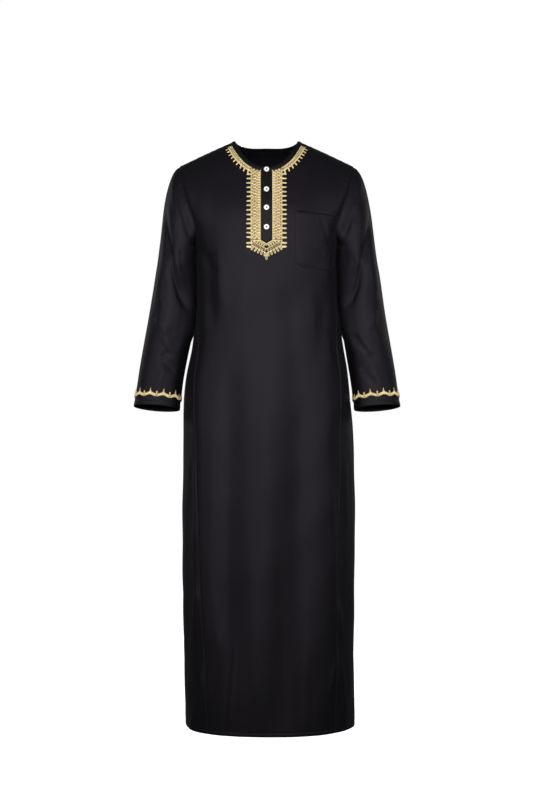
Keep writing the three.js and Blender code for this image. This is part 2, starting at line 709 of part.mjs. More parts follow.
/** The pointed end below the placket, with short spokes along its lower edges. */
function veeShape() {
  const top = placket.shoulderLevel - seamGap;
  const inner = [];
  const outer = [];
  for (let i = 0; i <= vee.cells; i++) {
    const fall = Math.min(1, i / vee.sideCells);
    const down = Math.max(0, (i - vee.sideCells) / (vee.cells - vee.sideCells));
    const innerStart = THREE.MathUtils.lerp(stripOuter - vee.spokeLength, stripInner, fall);
    inner.push(new THREE.Vector2(
      -THREE.MathUtils.lerp(innerStart, vee.tipHalfWidth, down),
      THREE.MathUtils.lerp(top, placket.tipLevel - 2 * seamGap, down)));
    outer.push(new THREE.Vector2(
      -THREE.MathUtils.lerp(stripOuter, vee.tipHalfWidth, down),
      THREE.MathUtils.lerp(THREE.MathUtils.lerp(top, vee.outerLevel, fall), vee.tipLevel, down)));
  }
  const bothSides = (line) => [...line, ...line.toReversed().map(({ x, y }) => new THREE.Vector2(-x, y))];
  const sideTooth = { cell: 1, length: strip.toothLength };
  const spokes = [3, 5, 7].map((cell) => ({ cell, length: vee.spokeLength }));
  const teeth = [sideTooth, ...spokes].flatMap(
    ({ cell, length }) => [{ cell, length }, { cell: 2 * vee.cells - cell, length }]);
  return toothedBand(
    bothSides(inner), bothSides(outer), [...teeth, { cell: vee.cells, length: vee.spokeLength }]);
}

const onChest = (flat, lift) => chestPoint(flat.x, flat.y, lift);

// One wave of the cuff braid: where along it its upper edge stands up by how much of what.
const waveOutline = table(
  ['share', 'standing', 'reach'],
  [0.12, 'spire', 0],
  [0.2, 'spire', 1],
  [0.3, 'spire', 1],
  [0.38, 'spire', 0],
  [0.66, 'peg', 0],
  [0.68, 'peg', 1],
  [0.82, 'peg', 1],
  [0.84, 'peg', 0]);

/** The wavy braid round a cuff: spires on its crests and blunt pegs in its hollows. */
function cuffBraidSolid(name, side) {
  const bottomLevel = sleeveSections[sleeveSections.length - 1].z;
  const turnStep = 0.02;
  const place = (turn, above, lift) => {
    const at = (level, round) => lowerSleevePoint(side, bottomLevel + level, round);
    const along = at(above - 1, turn).sub(at(above + 1, turn));
    const across = at(above, turn + turnStep).sub(at(above, turn - turnStep));
    const normal = across.cross(along).multiplyScalar(side).normalize();
    return at(above, turn).addScaledVector(normal, lift);
  };
  const edges = range(cuffBraid.waves).flatMap((wave) => waveOutline.map(({ share, standing, reach }) => {
    const middle = cuffBraid.aboveEdge + cuffBraid.swing * Math.sin(2 * Math.PI * share);
    const low = middle - cuffBraid.band / 2;
    const high = middle + cuffBraid.band / 2 + reach * cuffBraid[standing];
    return { turn: 2 * Math.PI * (wave + share) / cuffBraid.waves, low, high };
  }));
  const sheet = (lift) => edges.flatMap(
    ({ turn, low, high }) => [place(turn, low, lift), place(turn, high, lift)]);
  return solidFromSheets(
    name, 'gold', sheet(layGap + cuffBraid.thickness), sheet(layGap),
    gridTriangles(2, edges.length, { ringRows: true }));
}

// ------------------------------------------------------------------ pocket and buttons

/** A patch with two rounded lower corners, leaning down towards the sleeve. */
function pocketSolid() {
  const { pocketRows: rows, pocketColumns: columns } = gridSize;
  const middleLevel = pocket.top - pocket.height / 2;
  const middleDown = downAt(ridgeLevel(pocket.left) - middleLevel);
  const start = angleOf(pocket.left, middleDown);
  const end = angleOf(pocket.left + pocket.width, middleDown);
  const places = range(rows + 1).map((row) => range(columns + 1).map((column) => {
    const angle = THREE.MathUtils.lerp(start, end, column / columns);
    const full = Math.sin(angle) ** (2 / bodyRoundness) * halfWidthAt(middleLevel, 1);
    const x = THREE.MathUtils.lerp(full, pocket.left, pocket.taper * row / rows);
    const fromSide = Math.min(full - pocket.left, pocket.left + pocket.width - full);
    const cornerShare = 1 - THREE.MathUtils.clamp(fromSide / pocket.corner, 0, 1);
    const rounding = pocket.corner * (1 - Math.sqrt(1 - cornerShare ** 2));
    const fall = (full - pocket.left) * Math.tan(degrees(pocket.lean));
    const z = pocket.top - fall - (pocket.height - rounding) * row / rows;
    return chestPoint(x, z, 1.5 * layGap + pocket.thickness);
  }));
  return clothWall('chest_pocket', places, { thickness: pocket.thickness });
}

/** A disc with four thread holes, seated on the placket. */
function buttonSolid(index) {
  const shape = new THREE.Shape().absarc(0, 0, button.radius, 0, 2 * Math.PI);
  for (const corner of range(4)) {
    const turn = Math.PI / 4 + corner * Math.PI / 2;
    shape.holes.push(new THREE.Path().absarc(
      button.holeSpread * Math.cos(turn), button.holeSpread * Math.sin(turn),
      button.holeRadius, 0, 2 * Math.PI, true));
  }
  const geometry = new THREE.ExtrudeGeometry(
    shape, { depth: button.thickness, curveSegments: 6, bevelEnabled: false });
  const mesh = new THREE.Mesh(geometry, materials.button());
  const { point, normal } = chestPoint(0, button.levels[index], layGap + placket.thickness + seamGap);
  mesh.position.copy(point);
  mesh.quaternion.setFromUnitVectors(new THREE.Vector3(0, 0, 1), normal);
  mesh.name = `button_${index + 1}`;
  return mesh;
}

// ------------------------------------------------------------------ the garment

const thobe = new THREE.Group();
thobe.add(
  panel('front_panel', 'front'),
  panel('back_panel', 'back'),
  neckBinding(),
  placketSolid(),
  pocketSolid(),
  raisedShape('point_embroidery', veeShape(), onChest, strip.thickness));
for (const [word, side] of [['right', -1], ['left', 1]]) {
  const band = neckBandPlace(side);
  thobe.add(
    sidePanel(`side_panel_${word}`, side),
    sleeve(`sleeve_${word}`, side),
    raisedShape(`strip_embroidery_${word}`, stripShape(side), onChest, strip.thickness),
    raisedShape(`neck_embroidery_${word}`, neckBandShape(band.length), band.place, strip.thickness),
    cuffBraidSolid(`cuff_embroidery_${word}`, side));
}
for (const index of button.levels.keys()) thobe.add(buttonSolid(index));

export default thobe;
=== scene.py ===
import math

import bmesh
import bpy
import numpy as np
from mathutils import Matrix, Vector


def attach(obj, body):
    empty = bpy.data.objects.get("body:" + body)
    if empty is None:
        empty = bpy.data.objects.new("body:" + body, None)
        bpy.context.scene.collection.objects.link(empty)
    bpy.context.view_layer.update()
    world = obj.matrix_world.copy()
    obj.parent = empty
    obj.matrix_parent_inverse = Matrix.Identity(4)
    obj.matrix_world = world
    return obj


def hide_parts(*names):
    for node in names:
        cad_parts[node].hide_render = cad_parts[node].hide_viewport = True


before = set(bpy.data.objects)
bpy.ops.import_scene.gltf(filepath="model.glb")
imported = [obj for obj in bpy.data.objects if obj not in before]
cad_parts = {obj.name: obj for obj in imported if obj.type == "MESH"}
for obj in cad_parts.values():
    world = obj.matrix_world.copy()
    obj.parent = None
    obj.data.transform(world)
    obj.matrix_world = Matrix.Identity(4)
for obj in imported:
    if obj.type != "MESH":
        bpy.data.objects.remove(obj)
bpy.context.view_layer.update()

print("frame loaded:", len(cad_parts), "nodes")

# Sizes are in millimetres until a mesh is made, which puts them in metres.
mm = 0.001


def table(names, *rows):      # a short table, read by its column names
    return {name: np.array([row[i] for row in rows], float) for i, name in enumerate(names.split())}


def smoothStep(value, low, high):
    t = np.clip((value - low) / (high - low), 0, 1)
    return t * t * (3 - 2 * t)


def signedPower(value, power):
    return np.sign(value) * np.abs(value) ** power


def mix(start, end, share):
    return start + (end - start) * share


def hermite(t, start, leave, end, arrive):      # a curve from its ends and its end directions
    return (start * (2 * t ** 3 - 3 * t ** 2 + 1) + leave * (t ** 3 - 2 * t ** 2 + t)
            + end * (3 * t ** 2 - 2 * t ** 3) + arrive * (t ** 3 - t ** 2))


def readTable(rows, by, name, at):      # a smooth curve through one column
    knots, values = rows[by], rows[name]
    if knots[0] > knots[-1]:
        knots, values = knots[::-1], values[::-1]
    last = len(knots) - 1
    before = np.maximum(np.arange(last + 1) - 1, 0)
    after = np.minimum(np.arange(last + 1) + 1, last)
    slopes = (values[after] - values[before]) / (knots[after] - knots[before])
    place = np.clip(np.searchsorted(knots, at, side="right") - 1, 0, last - 1)
    span = knots[place + 1] - knots[place]
    t = np.clip((at - knots[place]) / span, 0, 1)
    return hermite(t, values[place], slopes[place] * span, values[place + 1], slopes[place + 1] * span)


def unit(vectors):
    return vectors / np.maximum(np.linalg.norm(vectors, axis=-1, keepdims=True), 1e-9)


def foldHeight(folds, across, level):      # every fold fades sideways and towards its ends
    height = np.zeros(np.broadcast(across, level).shape)
    for x0, z0, x1, z1, bow, width, rise, lean in zip(*folds.values()):
        runX, runZ = x1 - x0, z1 - z0
        length = math.hypot(runX, runZ)
        t = ((across - x0) * runX + (level - z0) * runZ) / length ** 2
        aside = ((across - x0) * runZ - (level - z0) * runX) / length + bow * 4 * t * (1 - t)
        fade = smoothStep(t, 0, 0.3) * smoothStep(1 - t, 0, 0.3)
        share = aside / width
        height = height + rise * fade * (1 + lean * share) * np.exp(-share ** 2)
    return height


# The form of the body

body = {"hem": -1405, "underarm": -250, "roundness": 2.6, "wall": 1.3}
neck = {"halfWidth": 75, "front": 89, "back": 62, "roundness": 2.35, "binding": 11}
shoulder = {"slope": 0.5, "blend": 60, "tip": 210.5, "drop": 200}

bodySections = table(
    "z right left front back",
    (40, 234, 234, 104, 122), (-62, 228, 228, 108, 121), (-90, 222, 222, 111, 120),
    (-130, 212, 212, 118, 120), (-170, 196, 196, 126, 121), (-215, 179, 180, 133, 122),
    (-250, 174, 175, 136, 122), (-293, 172, 172, 137, 120), (-356, 171, 172, 136, 118),
    (-409, 172, 176, 136, 118), (-491, 181, 185, 138, 122), (-564, 195, 196, 142, 128),
    (-661, 201, 204, 146, 134), (-806, 201, 209, 150, 140), (-1106, 202, 210, 158, 150),
    (-1241, 201, 212, 162, 155), (-1387, 197, 213, 165, 160), (-1405, 195, 212, 165, 160))
sideSeams = table(      # degrees round from the centre front and from the centre back
    "z frontRight frontLeft backRight backLeft",
    (-250, 82, 82, 82, 82), (-330, 74, 74, 76, 76), (-480, 63, 64, 66, 66), (-660, 53, 55, 58, 58),
    (-869, 48.4, 50, 52, 52), (-1091, 44.4, 48, 48, 48), (-1267, 40.5, 46.6, 46, 46),
    (-1405, 40, 45, 45, 45))
armhole = table(        # degrees round, by the distance down from the shoulder seam
    "down front back",
    (0, 64.3, 64.3), (50, 62, 63.2), (100, 61, 63), (150, 60.8, 63.5), (200, 61.5, 65),
    (250, 64, 68), (290, 67.5, 72), (306, 72, 75), (320, 82, 82))

foldNames = "x0 z0 x1 z1 bow width rise lean"
frontFolds = table(
    foldNames,
    (-8, -430, -2, -1460, -5, 54, 9.5, 0), (-90, -430, -94, -1330, 4, 29, -9, 0),
    (78, -450, 80, -1330, -4, 29, -9, 0), (-148, -500, -142, -1280, 0, 26, 4, 0),
    (140, -500, 136, -1240, 0, 26, 4, 0), (-98, -1120, -112, -1480, 3, 18, 3.5, 0),
    (-140, -235, -118, -470, -8, 16, -5, 0), (-108, -250, -92, -420, -6, 12, 3, 0),
    (136, -310, 122, -560, 6, 17, -4, 0), (52, -330, 64, -640, 6, 20, -3, 0),
    # narrow ridges beside the gores
    (-182, -740, -188, -900, 0, 4.5, 3, 0.3), (-168, -740, -168, -990, 2, 4.5, 3.4, 0.3),
    (-171, -950, -158, -1110, -1, 4.5, 3.6, 0.3), (-158, -1040, -174, -1230, -2, 4.5, 3.2, 0.3),
    (-149, -1220, -154, -1350, -3, 4.5, 3, 0.3), (-153, -1310, -182, -1420, 0, 5, 3.4, 0.3),
    (188, -740, 193, -960, -2, 4.5, 3, -0.3), (158, -800, 168, -960, 1, 4.5, 3.2, -0.3),
    (168, -900, 168, -1170, 0, 4.5, 3.4, -0.3), (167, -1080, 182, -1200, 0, 4.5, 3, -0.3),
    (166, -1190, 190, -1420, 3, 4.8, 3.6, -0.3), (164, -1225, 146, -1320, 0, 4.5, 2.4, -0.3),
    (-72, -1140, -92, -1440, 2, 5, 2.4, 0.2), (-120, -1060, -112, -1220, -2, 8, 1.6, 0),
    # soft pulls over the chest and the waist
    (-196, -150, -128, -300, -10, 9, -2.6, 0.5), (-186, -215, -96, -345, -6, 11, -2.4, 0.4),
    (192, -150, 128, -262, 10, 9, -2.4, -0.5), (184, -225, 150, -330, 5, 9, -2, -0.4),
    (-190, -110, -150, -215, -5, 8, 2, 0), (188, -108, 152, -205, 5, 8, 2, 0),
    (-60, -300, -64, -470, 3, 16, 1.8, 0), (20, -300, 12, -520, -4, 22, 1.8, 0),
    (96, -330, 108, -470, 3, 12, 2, 0), (-150, -430, -176, -560, 3, 9, -2, 0.4),
    (150, -430, 180, -560, -3, 9, -2, -0.4), (-40, -900, -30, -1400, 3, 12, 1.4, 0),
    (34, -860, 40, -1390, -3, 14, -1.6, 0), (96, -1160, 92, -1430, 2, 10, 1.5, 0))
backFolds = table(
    foldNames,
    (4, -420, -6, -1440, 8, 42, 8, 0), (-64, -560, -72, -1330, -6, 24, -9, 0),
    (70, -500, 62, -1290, 6, 25, -8, 0), (-128, -470, -120, -1440, 5, 30, 7, 0),
    (132, -540, 126, -1380, -4, 32, 6, 0), (-100, -190, -44, -470, -14, 18, -5, 0),
    (96, -200, 40, -440, 14, 17, -5, 0), (-30, -380, 24, -470, 10, 14, -4, 0),
    # shorter creases between them
    (-182, -140, -96, -300, -12, 10, -3, 0.5), (178, -135, 100, -280, 12, 10, -3, -0.5),
    (-168, -240, -110, -420, -8, 9, -2.6, 0.4), (165, -250, 112, -400, 8, 10, -2.4, -0.4),
    (-150, -360, -176, -520, 4, 9, 2.4, 0.3), (152, -350, 178, -530, -4, 9, 2.4, -0.3),
    (-26, -250, -18, -420, 4, 14, 2.2, 0), (30, -300, 44, -470, -4, 12, 2, 0),
    (-98, -700, -104, -1120, 3, 9, 2.2, 0.2), (100, -820, 94, -1250, -3, 10, 2.2, -0.2),
    (-168, -760, -170, -1010, 2, 5, 3, 0.3), (-160, -1010, -172, -1250, -2, 5, 3, 0.3),
    (168, -740, 172, -930, -2, 5, 3, -0.3), (166, -960, 170, -1230, 2, 5, 3.2, -0.3),
    (-36, -860, -40, -1410, 3, 12, -2, 0), (36, -980, 30, -1420, -3, 12, 1.8, 0),
    (-158, -1240, -140, -1430, 3, 6, 2.6, 0.3), (160, -1230, 150, -1430, -3, 6, 2.4, -0.3))
sideFolds = {      # seen from the side: across is y, from the front to the back
    -1: table(
        foldNames,
        (-22, -225, -26, -430, 0, 10, -2.2, 0), (22, -235, 24, -440, 0, 11, -2.2, 0),
        (0, -228, 0, -440, 0, 8, 1.6, 0),
        (-24, -300, -36, -700, 6, 16, -3.2, 0), (26, -330, 40, -820, -6, 17, -3, 0),
        (0, -520, 4, -1180, 5, 20, 3.2, 0), (-56, -700, -64, -1330, -4, 15, 3, 0),
        (58, -760, 70, -1400, 4, 16, 3, 0), (-28, -900, -24, -1420, 3, 13, -2.6, 0),
        (34, -1000, 30, -1430, -3, 13, -2.6, 0)),
    1: table(
        foldNames,
        (-22, -225, -24, -430, 0, 11, -2.2, 0), (23, -230, 26, -440, 0, 10, -2.2, 0),
        (1, -228, 0, -440, 0, 8, 1.6, 0),
        (-20, -300, -40, -640, 5, 16, -3, 0), (30, -320, 36, -760, -5, 17, -3.2, 0),
        (4, -560, -2, -1250, -5, 21, 3.4, 0), (-60, -660, -58, -1280, 4, 15, 3, 0),
        (62, -800, 66, -1410, -4, 15, 3.2, 0), (-30, -960, -34, -1430, -3, 12, -2.8, 0),
        (30, -940, 36, -1420, 3, 14, -2.4, 0)),
}
wander = {"seed": 11, "waves": 14, "height": 0.42, "shortest": 55, "longest": 190, "stretch": 2.6}


def slowWaves(point):      # the unevenness of cloth that hangs: low swells, longer up and down
    rng = np.random.default_rng(wander["seed"])
    height = np.zeros(point.shape[:-1])
    for _ in range(wander["waves"]):
        length = rng.uniform(wander["shortest"], wander["longest"])
        heading = unit(rng.normal(size=3) * (1, 1, 1 / wander["stretch"]))
        height += wander["height"] * np.sin(point @ heading * 2 * math.pi / length + rng.uniform(0, 6.28))
    return height


def ridgeLevel(x):
    return shoulder["slope"] * (math.hypot(neck["halfWidth"], shoulder["blend"])
                                - np.hypot(x, shoulder["blend"]))


quarterTurn = shoulder["drop"] * math.pi / 2      # along the rounding from the shoulder ridge


def dropAt(down):
    rounded = shoulder["drop"] * (1 - np.cos(np.minimum(down, quarterTurn) / shoulder["drop"]))
    return rounded + np.maximum(down - quarterTurn, 0)


def downAt(drop):
    rounded = shoulder["drop"] * np.arccos(1 - np.clip(drop, 0, shoulder["drop"]) / shoulder["drop"])
    return rounded + np.maximum(drop - shoulder["drop"], 0)


def roundIn(down):
    return np.sin(np.minimum(down, quarterTurn) / shoulder["drop"])


def halfWidthAt(z, x):
    return np.where(x < 0, readTable(bodySections, "z", "right", z), readTable(bodySections, "z", "left", z))


def depthAt(z, forward):
    return np.where(forward < 0, readTable(bodySections, "z", "back", z),
                    readTable(bodySections, "z", "front", z))


def plainPoint(x, down):      # the body by x and the distance down; down is negative on the back
    x, down = np.broadcast_arrays(np.asarray(x, float), np.asarray(down, float))
    z = ridgeLevel(x) - dropAt(np.abs(down))
    power = body["roundness"]
    inward = np.maximum(0, 1 - np.abs(x / halfWidthAt(z, x)) ** power) ** (1 / power)
    depth = depthAt(z, down) * roundIn(np.abs(down)) * inward
    return np.stack([x, np.where(down < 0, depth, -depth), z], -1)


def plainRound(angle, down):      # the same body by its angle round from the centre front
    across = signedPower(np.sin(angle), 2 / body["roundness"])
    forward = signedPower(np.cos(angle), 2 / body["roundness"])
    z = ridgeLevel(0 * across) - dropAt(down)
    for _ in range(8):
        x = across * halfWidthAt(z, across)
        z = ridgeLevel(x) - dropAt(down)
    return np.stack([x, -forward * depthAt(z, forward) * roundIn(down), z], -1)


def angleOf(x, down):
    share = np.minimum(1, np.abs(x / halfWidthAt(ridgeLevel(x) - dropAt(down), x)))
    return np.sign(x) * np.arcsin(share ** (body["roundness"] / 2))


def clothHeight(point, normal):      # how far the folds move the plain body in or out
    x, y, z = point[..., 0], point[..., 1], point[..., 2]
    front = foldHeight(frontFolds, x, z)
    back = foldHeight(backFolds, x, z)
    sides = np.where(x < 0, foldHeight(sideFolds[-1], y, z), foldHeight(sideFolds[1], y, z))
    facing = smoothStep(np.abs(normal[..., 1]), 0.05, 0.6)
    sideways = smoothStep(np.abs(normal[..., 0]), 0.55, 0.95)
    calm = smoothStep(-z, 60, 180)
    return np.where(normal[..., 1] < 0, front, back) * facing + sides * sideways + slowWaves(point) * calm


def dressed(point, normal, lift=0):
    return point + normal * (clothHeight(point, normal) + lift)[..., None]


nudge = 0.5


def onBody(x, down, lift=0):      # a dressed point by x and the distance down, and its normal
    x, down = np.broadcast_arrays(np.asarray(x, float), np.asarray(down, float))
    side = np.where(down < 0, -1, 1)
    point = plainPoint(x, down)
    across = plainPoint(x + nudge, down) - plainPoint(x - nudge, down)
    along = plainPoint(x, down + side * nudge) - point
    normal = unit(np.cross(along, across) * side[..., None])
    wrong = (normal[..., 1] * side > 0) & (np.abs(down) > nudge)
    normal = np.where(wrong[..., None], -normal, normal)
    return dressed(point, normal, lift), normal


def onBodyRound(angle, down, lift=0):
    turn = 0.004
    across = plainRound(angle + turn, down) - plainRound(angle - turn, down)
    along = plainRound(angle, down + nudge) - plainRound(angle, np.maximum(down - nudge, 0))
    normal = unit(np.cross(along, across))
    return dressed(plainRound(angle, down), normal, lift), normal


def onChest(x, z, lift=0):      # a dressed point of the front by x and level
    return onBody(x, downAt(np.maximum(0, ridgeLevel(x) - z)), lift)


def downAtLevel(angle, z):
    x = signedPower(np.sin(angle), 2 / body["roundness"]) * halfWidthAt(z, np.sin(angle))
    return downAt(ridgeLevel(x) - z)


def neckEdge(turn):      # x and distance down, by the turn round from the centre front
    x = neck["halfWidth"] * signedPower(np.sin(turn), 2 / neck["roundness"])
    forward = signedPower(np.cos(turn), 2 / neck["roundness"])
    y = np.abs(forward) * np.where(forward > 0, neck["front"], neck["back"])
    down = np.full_like(x, 100.0)
    power = body["roundness"]
    for _ in range(12):
        z = ridgeLevel(x) - dropAt(down)
        inward = (1 - np.abs(x / halfWidthAt(z, x)) ** power) ** (1 / power)
        down = shoulder["drop"] * np.arcsin(np.minimum(1, y / (depthAt(z, forward) * inward)))
    return x, np.where(forward > 0, down, -down)


def fromNeck(turn, out):      # walks from the neck edge straight out over the cloth
    turn, out = np.broadcast_arrays(np.asarray(turn, float), np.asarray(out, float))
    edge = plainPoint(*neckEdge(turn + 0.01)) - plainPoint(*neckEdge(turn - 0.01))
    x, down = neckEdge(turn)
    heading = unit(np.cross(edge, onBody(x, down)[1]))
    inward = np.sum(heading * plainPoint(x, down), -1) < 0
    heading = np.where(inward[..., None], -heading, heading)
    steps = 5
    for _ in range(steps):
        perX = plainPoint(x + nudge, down) - plainPoint(x - nudge, down)
        perDown = plainPoint(x, down + nudge) - plainPoint(x, down - nudge)
        a, b, c = (np.sum(v * w, -1) for v, w in ((perX, perX), (perX, perDown), (perDown, perDown)))
        p, q = (np.sum(heading * v, -1) * out / steps for v in (perX, perDown))
        x = x + (p * c - q * b) / (a * c - b * b)
        down = down + (q * a - p * b) / (a * c - b * b)
    return x, down


def seamAngle(face, side, z):
    right = readTable(sideSeams, "z", face + "Right", z)
    left = readTable(sideSeams, "z", face + "Left", z)
    return np.radians(np.where(side < 0, right, left))


def armholeAngle(face, down):
    return np.radians(readTable(armhole, "down", face, down))


def roundFrom(face, angle):
    return angle if face == "front" else math.pi - angle


# Meshes

fineSteps = np.array([0, 0.8, 1.6, 2.6, 4, 6, 9, 13, 18, 24])
hemSteps = np.array([0, 0.7, 1.6, 3, 5, 6.6, 7.4, 8, 8.6, 9.4, 11, 14, 18, 24])
edgeBulge = 0.35      # how far a wall's edge is rounded out, by its thickness


def graded(length, step, first=fineSteps, last=fineSteps):      # places along a length, close at its ends
    middle = np.linspace(first[-1], length - last[-1], int((length - first[-1] - last[-1]) / step) + 1)
    return np.concatenate([first[:-1], middle, (length - last[:-1])[::-1]])


def runLength(points, axis):      # how far along its row or column each point of a grid is
    steps = np.linalg.norm(np.diff(points, axis=axis), axis=-1)
    return np.insert(np.cumsum(steps, axis=axis), 0, 0, axis=axis)


def clothUv(points):      # the cloth laid flat, in metres, from the middle of each row
    across = runLength(points, 1)
    return np.stack([across - across[:, across.shape[1] // 2, None], runLength(points, 0)], -1) * mm


def addObject(name, data):
    thing = bpy.data.objects.new(name, data)
    bpy.context.scene.collection.objects.link(thing)
    return thing


def meshPiece(name, points, faces, uv):      # millimetres in, metres out
    mesh = bpy.data.meshes.new(name)
    mesh.from_pydata((points * mm).tolist(), [], [list(face) for face in faces])
    mesh.uv_layers.new(name="UVMap").data.foreach_set("uv", np.concatenate(uv).astype(np.float32).ravel())
    mesh.shade_smooth()
    mesh.validate()
    return addObject(name, mesh)


def quadsOf(grid):      # the faces between the points of a grid
    return np.stack([grid[:-1, :-1], grid[:-1, 1:], grid[1:, 1:], grid[1:, :-1]], -1).reshape(-1, 4)


def shell(name, outer, normals, thickness, ring=False):      # a closed thin wall under an outer grid
    rows, columns = outer.shape[:2]
    ids = np.arange(rows * columns).reshape(rows, columns)
    wide = np.hstack([ids, ids[:, :1]]) if ring else ids
    uv = clothUv(np.concatenate([outer, outer[:, :1]], 1) if ring else outer)
    uvIds = np.arange(uv.shape[0] * uv.shape[1]).reshape(uv.shape[:2])
    inner = outer - normals * thickness
    points = [outer.reshape(-1, 3), inner.reshape(-1, 3)]
    faces = [quadsOf(wide), quadsOf(wide)[:, ::-1] + ids.size]
    corners = [quadsOf(uvIds), quadsOf(uvIds)[:, ::-1]]
    r, c = np.arange(rows), np.arange(wide.shape[1])
    if ring:
        walks = [(0 * c, c), (0 * c + rows - 1, c[::-1])]
    else:
        walks = [(np.concatenate([0 * c, r[1:], 0 * c[1:] + rows - 1, r[-2::-1]]),
                  np.concatenate([c, 0 * r[1:] + columns - 1, c[-2::-1], 0 * r[1:]]))]
    count = 2 * ids.size
    for r, c in walks:      # each open edge is rounded by one more line of points
        near = outer[np.clip(r, 1, rows - 2), c % columns if ring else np.clip(c, 1, columns - 2)]
        edge, under = outer[r, c % columns], inner[r, c % columns]
        points.append(((edge + under) / 2 + unit(edge - near) * thickness * edgeBulge)[:-1])
        middle = count + np.arange(len(r) - 1)
        follow = count + (np.arange(len(r) - 1) + 1) % (len(r) - 1)
        count += len(middle)
        a, b = wide[r[:-1], c[:-1]], wide[r[1:], c[1:]]
        faces += [np.stack([b, a, middle, follow], -1),
                  np.stack([follow, middle, a + ids.size, b + ids.size], -1)]
        wall = np.stack([uvIds[r[1:], c[1:]], uvIds[r[:-1], c[:-1]]], -1)
        corners += [np.hstack([wall, wall[:, ::-1]])] * 2
    points, faces, corners = (np.concatenate(part) for part in (points, faces, corners))
    first = points[faces[:ids.size // 2]]
    facing = np.cross(first[:, 1] - first[:, 0], first[:, 2] - first[:, 0])
    if np.sum(facing * normals.reshape(-1, 3)[faces[:ids.size // 2, 0]]) < 0:
        faces, corners = faces[:, ::-1], corners[:, ::-1]
    return meshPiece(name, points, faces, uv.reshape(-1, 2)[corners])


def areaOf(piece):
    return sum(face.area for face in piece.data.polygons)


# Front, back and side gores

panel = {"step": 5.2, "rowStep": 6.4, "chestStep": 4.6, "halfWidth": 165, "chestLength": 300,
         "goreWidth": 150, "goreStep": 6, "underBinding": 1.5,
         "seamDip": 1.2, "seamWidth": 2.2, "pucker": 0.32, "puckerPitch": 17, "puckerReach": 6,
         "hemStitch": 8, "hemRise": 0.7, "hemGroove": 0.5, "hemRipple": 0.16}
neckShare = 10 / 24      # of a panel's half, the columns that end at the neck


def seamHeight(distance, along):      # a pressed seam: a dip with a slight pucker beside it
    ripple = np.sin(2 * math.pi * along / panel["puckerPitch"] + 1.3 * np.sin(along / 41))
    near = distance / panel["puckerReach"] * np.exp(1 - distance / panel["puckerReach"])
    dip = panel["seamDip"] * np.exp(-(distance / panel["seamWidth"]) ** 2)
    return panel["pucker"] * ripple * near - dip


def hemHeight(distance, along):      # the turned edge stands up, and its stitches pull it in
    off = distance - panel["hemStitch"]
    turned = panel["hemRise"] * (1 - smoothStep(distance, panel["hemStitch"] - 0.6, panel["hemStitch"] + 1.6))
    groove = panel["hemGroove"] * np.exp(-(off / 0.9) ** 2)
    ripple = panel["hemRipple"] * np.sin(along / 2.1 + np.sin(along / 19)) * np.exp(-(off / 6) ** 2)
    return turned - groove + ripple


def columnTop(face, share):      # where a column ends: under the binding, or at the shoulder seam
    off = np.abs(share)
    out = neck["binding"] - panel["underBinding"]
    turn = roundFrom(face, math.pi / 2 * np.minimum(off / neckShare, 1))
    x, down = fromNeck(turn, out)
    along = np.clip((off - neckShare) / (1 - neckShare), 0, 1)
    atNeck = off < neckShare
    edge = fromNeck(np.array(math.pi / 2), out)[0]
    return np.where(atNeck, x, mix(edge, shoulder["tip"], along)), np.where(atNeck, np.abs(down), 0.1)


def chestPlace(face, share, rise):      # share runs from -1 to 1, rise from the underarm to the shoulder
    side, off = np.where(share < 0, -1, 1), np.abs(share)
    topX, topDown = columnTop(face, share)
    lowSeam = seamAngle(face, side, body["underarm"])
    lowDown = downAtLevel(side * roundFrom(face, off * lowSeam), body["underarm"])
    edgeDown = downAtLevel(side * roundFrom(face, lowSeam), body["underarm"])
    edgeAngle = np.where(rise > 0, armholeAngle(face, edgeDown * (1 - rise)), lowSeam)
    angle = off * edgeAngle + rise ** 2 * (angleOf(topX, topDown) - off * armholeAngle(face, 0))
    return onBodyRound(side * roundFrom(face, angle), mix(lowDown, topDown, rise))


def skirtPlace(face, share, z):
    side = np.where(share < 0, -1, 1)
    angle = side * roundFrom(face, np.abs(share) * seamAngle(face, side, z))
    return onBodyRound(angle, downAtLevel(angle, z))


def skirtLevels():
    return body["hem"] + graded(body["underarm"] - body["hem"], panel["rowStep"], hemSteps, fineSteps[:1])


def panelPiece(name, face):
    half = 1 - graded(panel["halfWidth"], panel["step"], fineSteps, fineSteps[:1]) / panel["halfWidth"]
    places = np.concatenate([-half, half[-2::-1]])
    shares = (np.sign(places) * np.abs(places) ** (body["roundness"] / 2))[None, :]
    rise = graded(panel["chestLength"], panel["chestStep"], fineSteps[:1])[1:, None] / panel["chestLength"]
    skirt = skirtPlace(face, shares, skirtLevels()[:, None])
    chest = chestPlace(face, shares, rise)
    points, normals = (np.concatenate(pair) for pair in zip(skirt, chest))
    across, along = runLength(points, 1), runLength(points, 0)
    fromSide = np.minimum(across, across[:, -1:] - across)
    height = seamHeight(fromSide, along) + hemHeight(along, across)
    onShoulder = np.abs(shares) > neckShare
    height += np.where(onShoulder, seamHeight(along[-1:] - along, across), 0)
    return shell(name, points + normals * height[..., None], normals, body["wall"])


def sidePlace(side, share, z):      # share runs from the front seam to the back seam
    start, end = seamAngle("front", side, z), math.pi - seamAngle("back", side, z)
    angle = side * mix(start, end, share)
    return onBodyRound(angle, downAtLevel(angle, z))


def sidePiece(name, side):
    share = graded(panel["goreWidth"], panel["goreStep"]) / panel["goreWidth"]
    points, normals = sidePlace(side, share[None, :], skirtLevels()[:, None])
    across, along = runLength(points, 1), runLength(points, 0)
    height = seamHeight(np.minimum(across, across[:, -1:] - across), along) + hemHeight(along, across)
    height += seamHeight(along[-1:] - along, across)
    return shell(name, points + normals * height[..., None], normals, body["wall"])


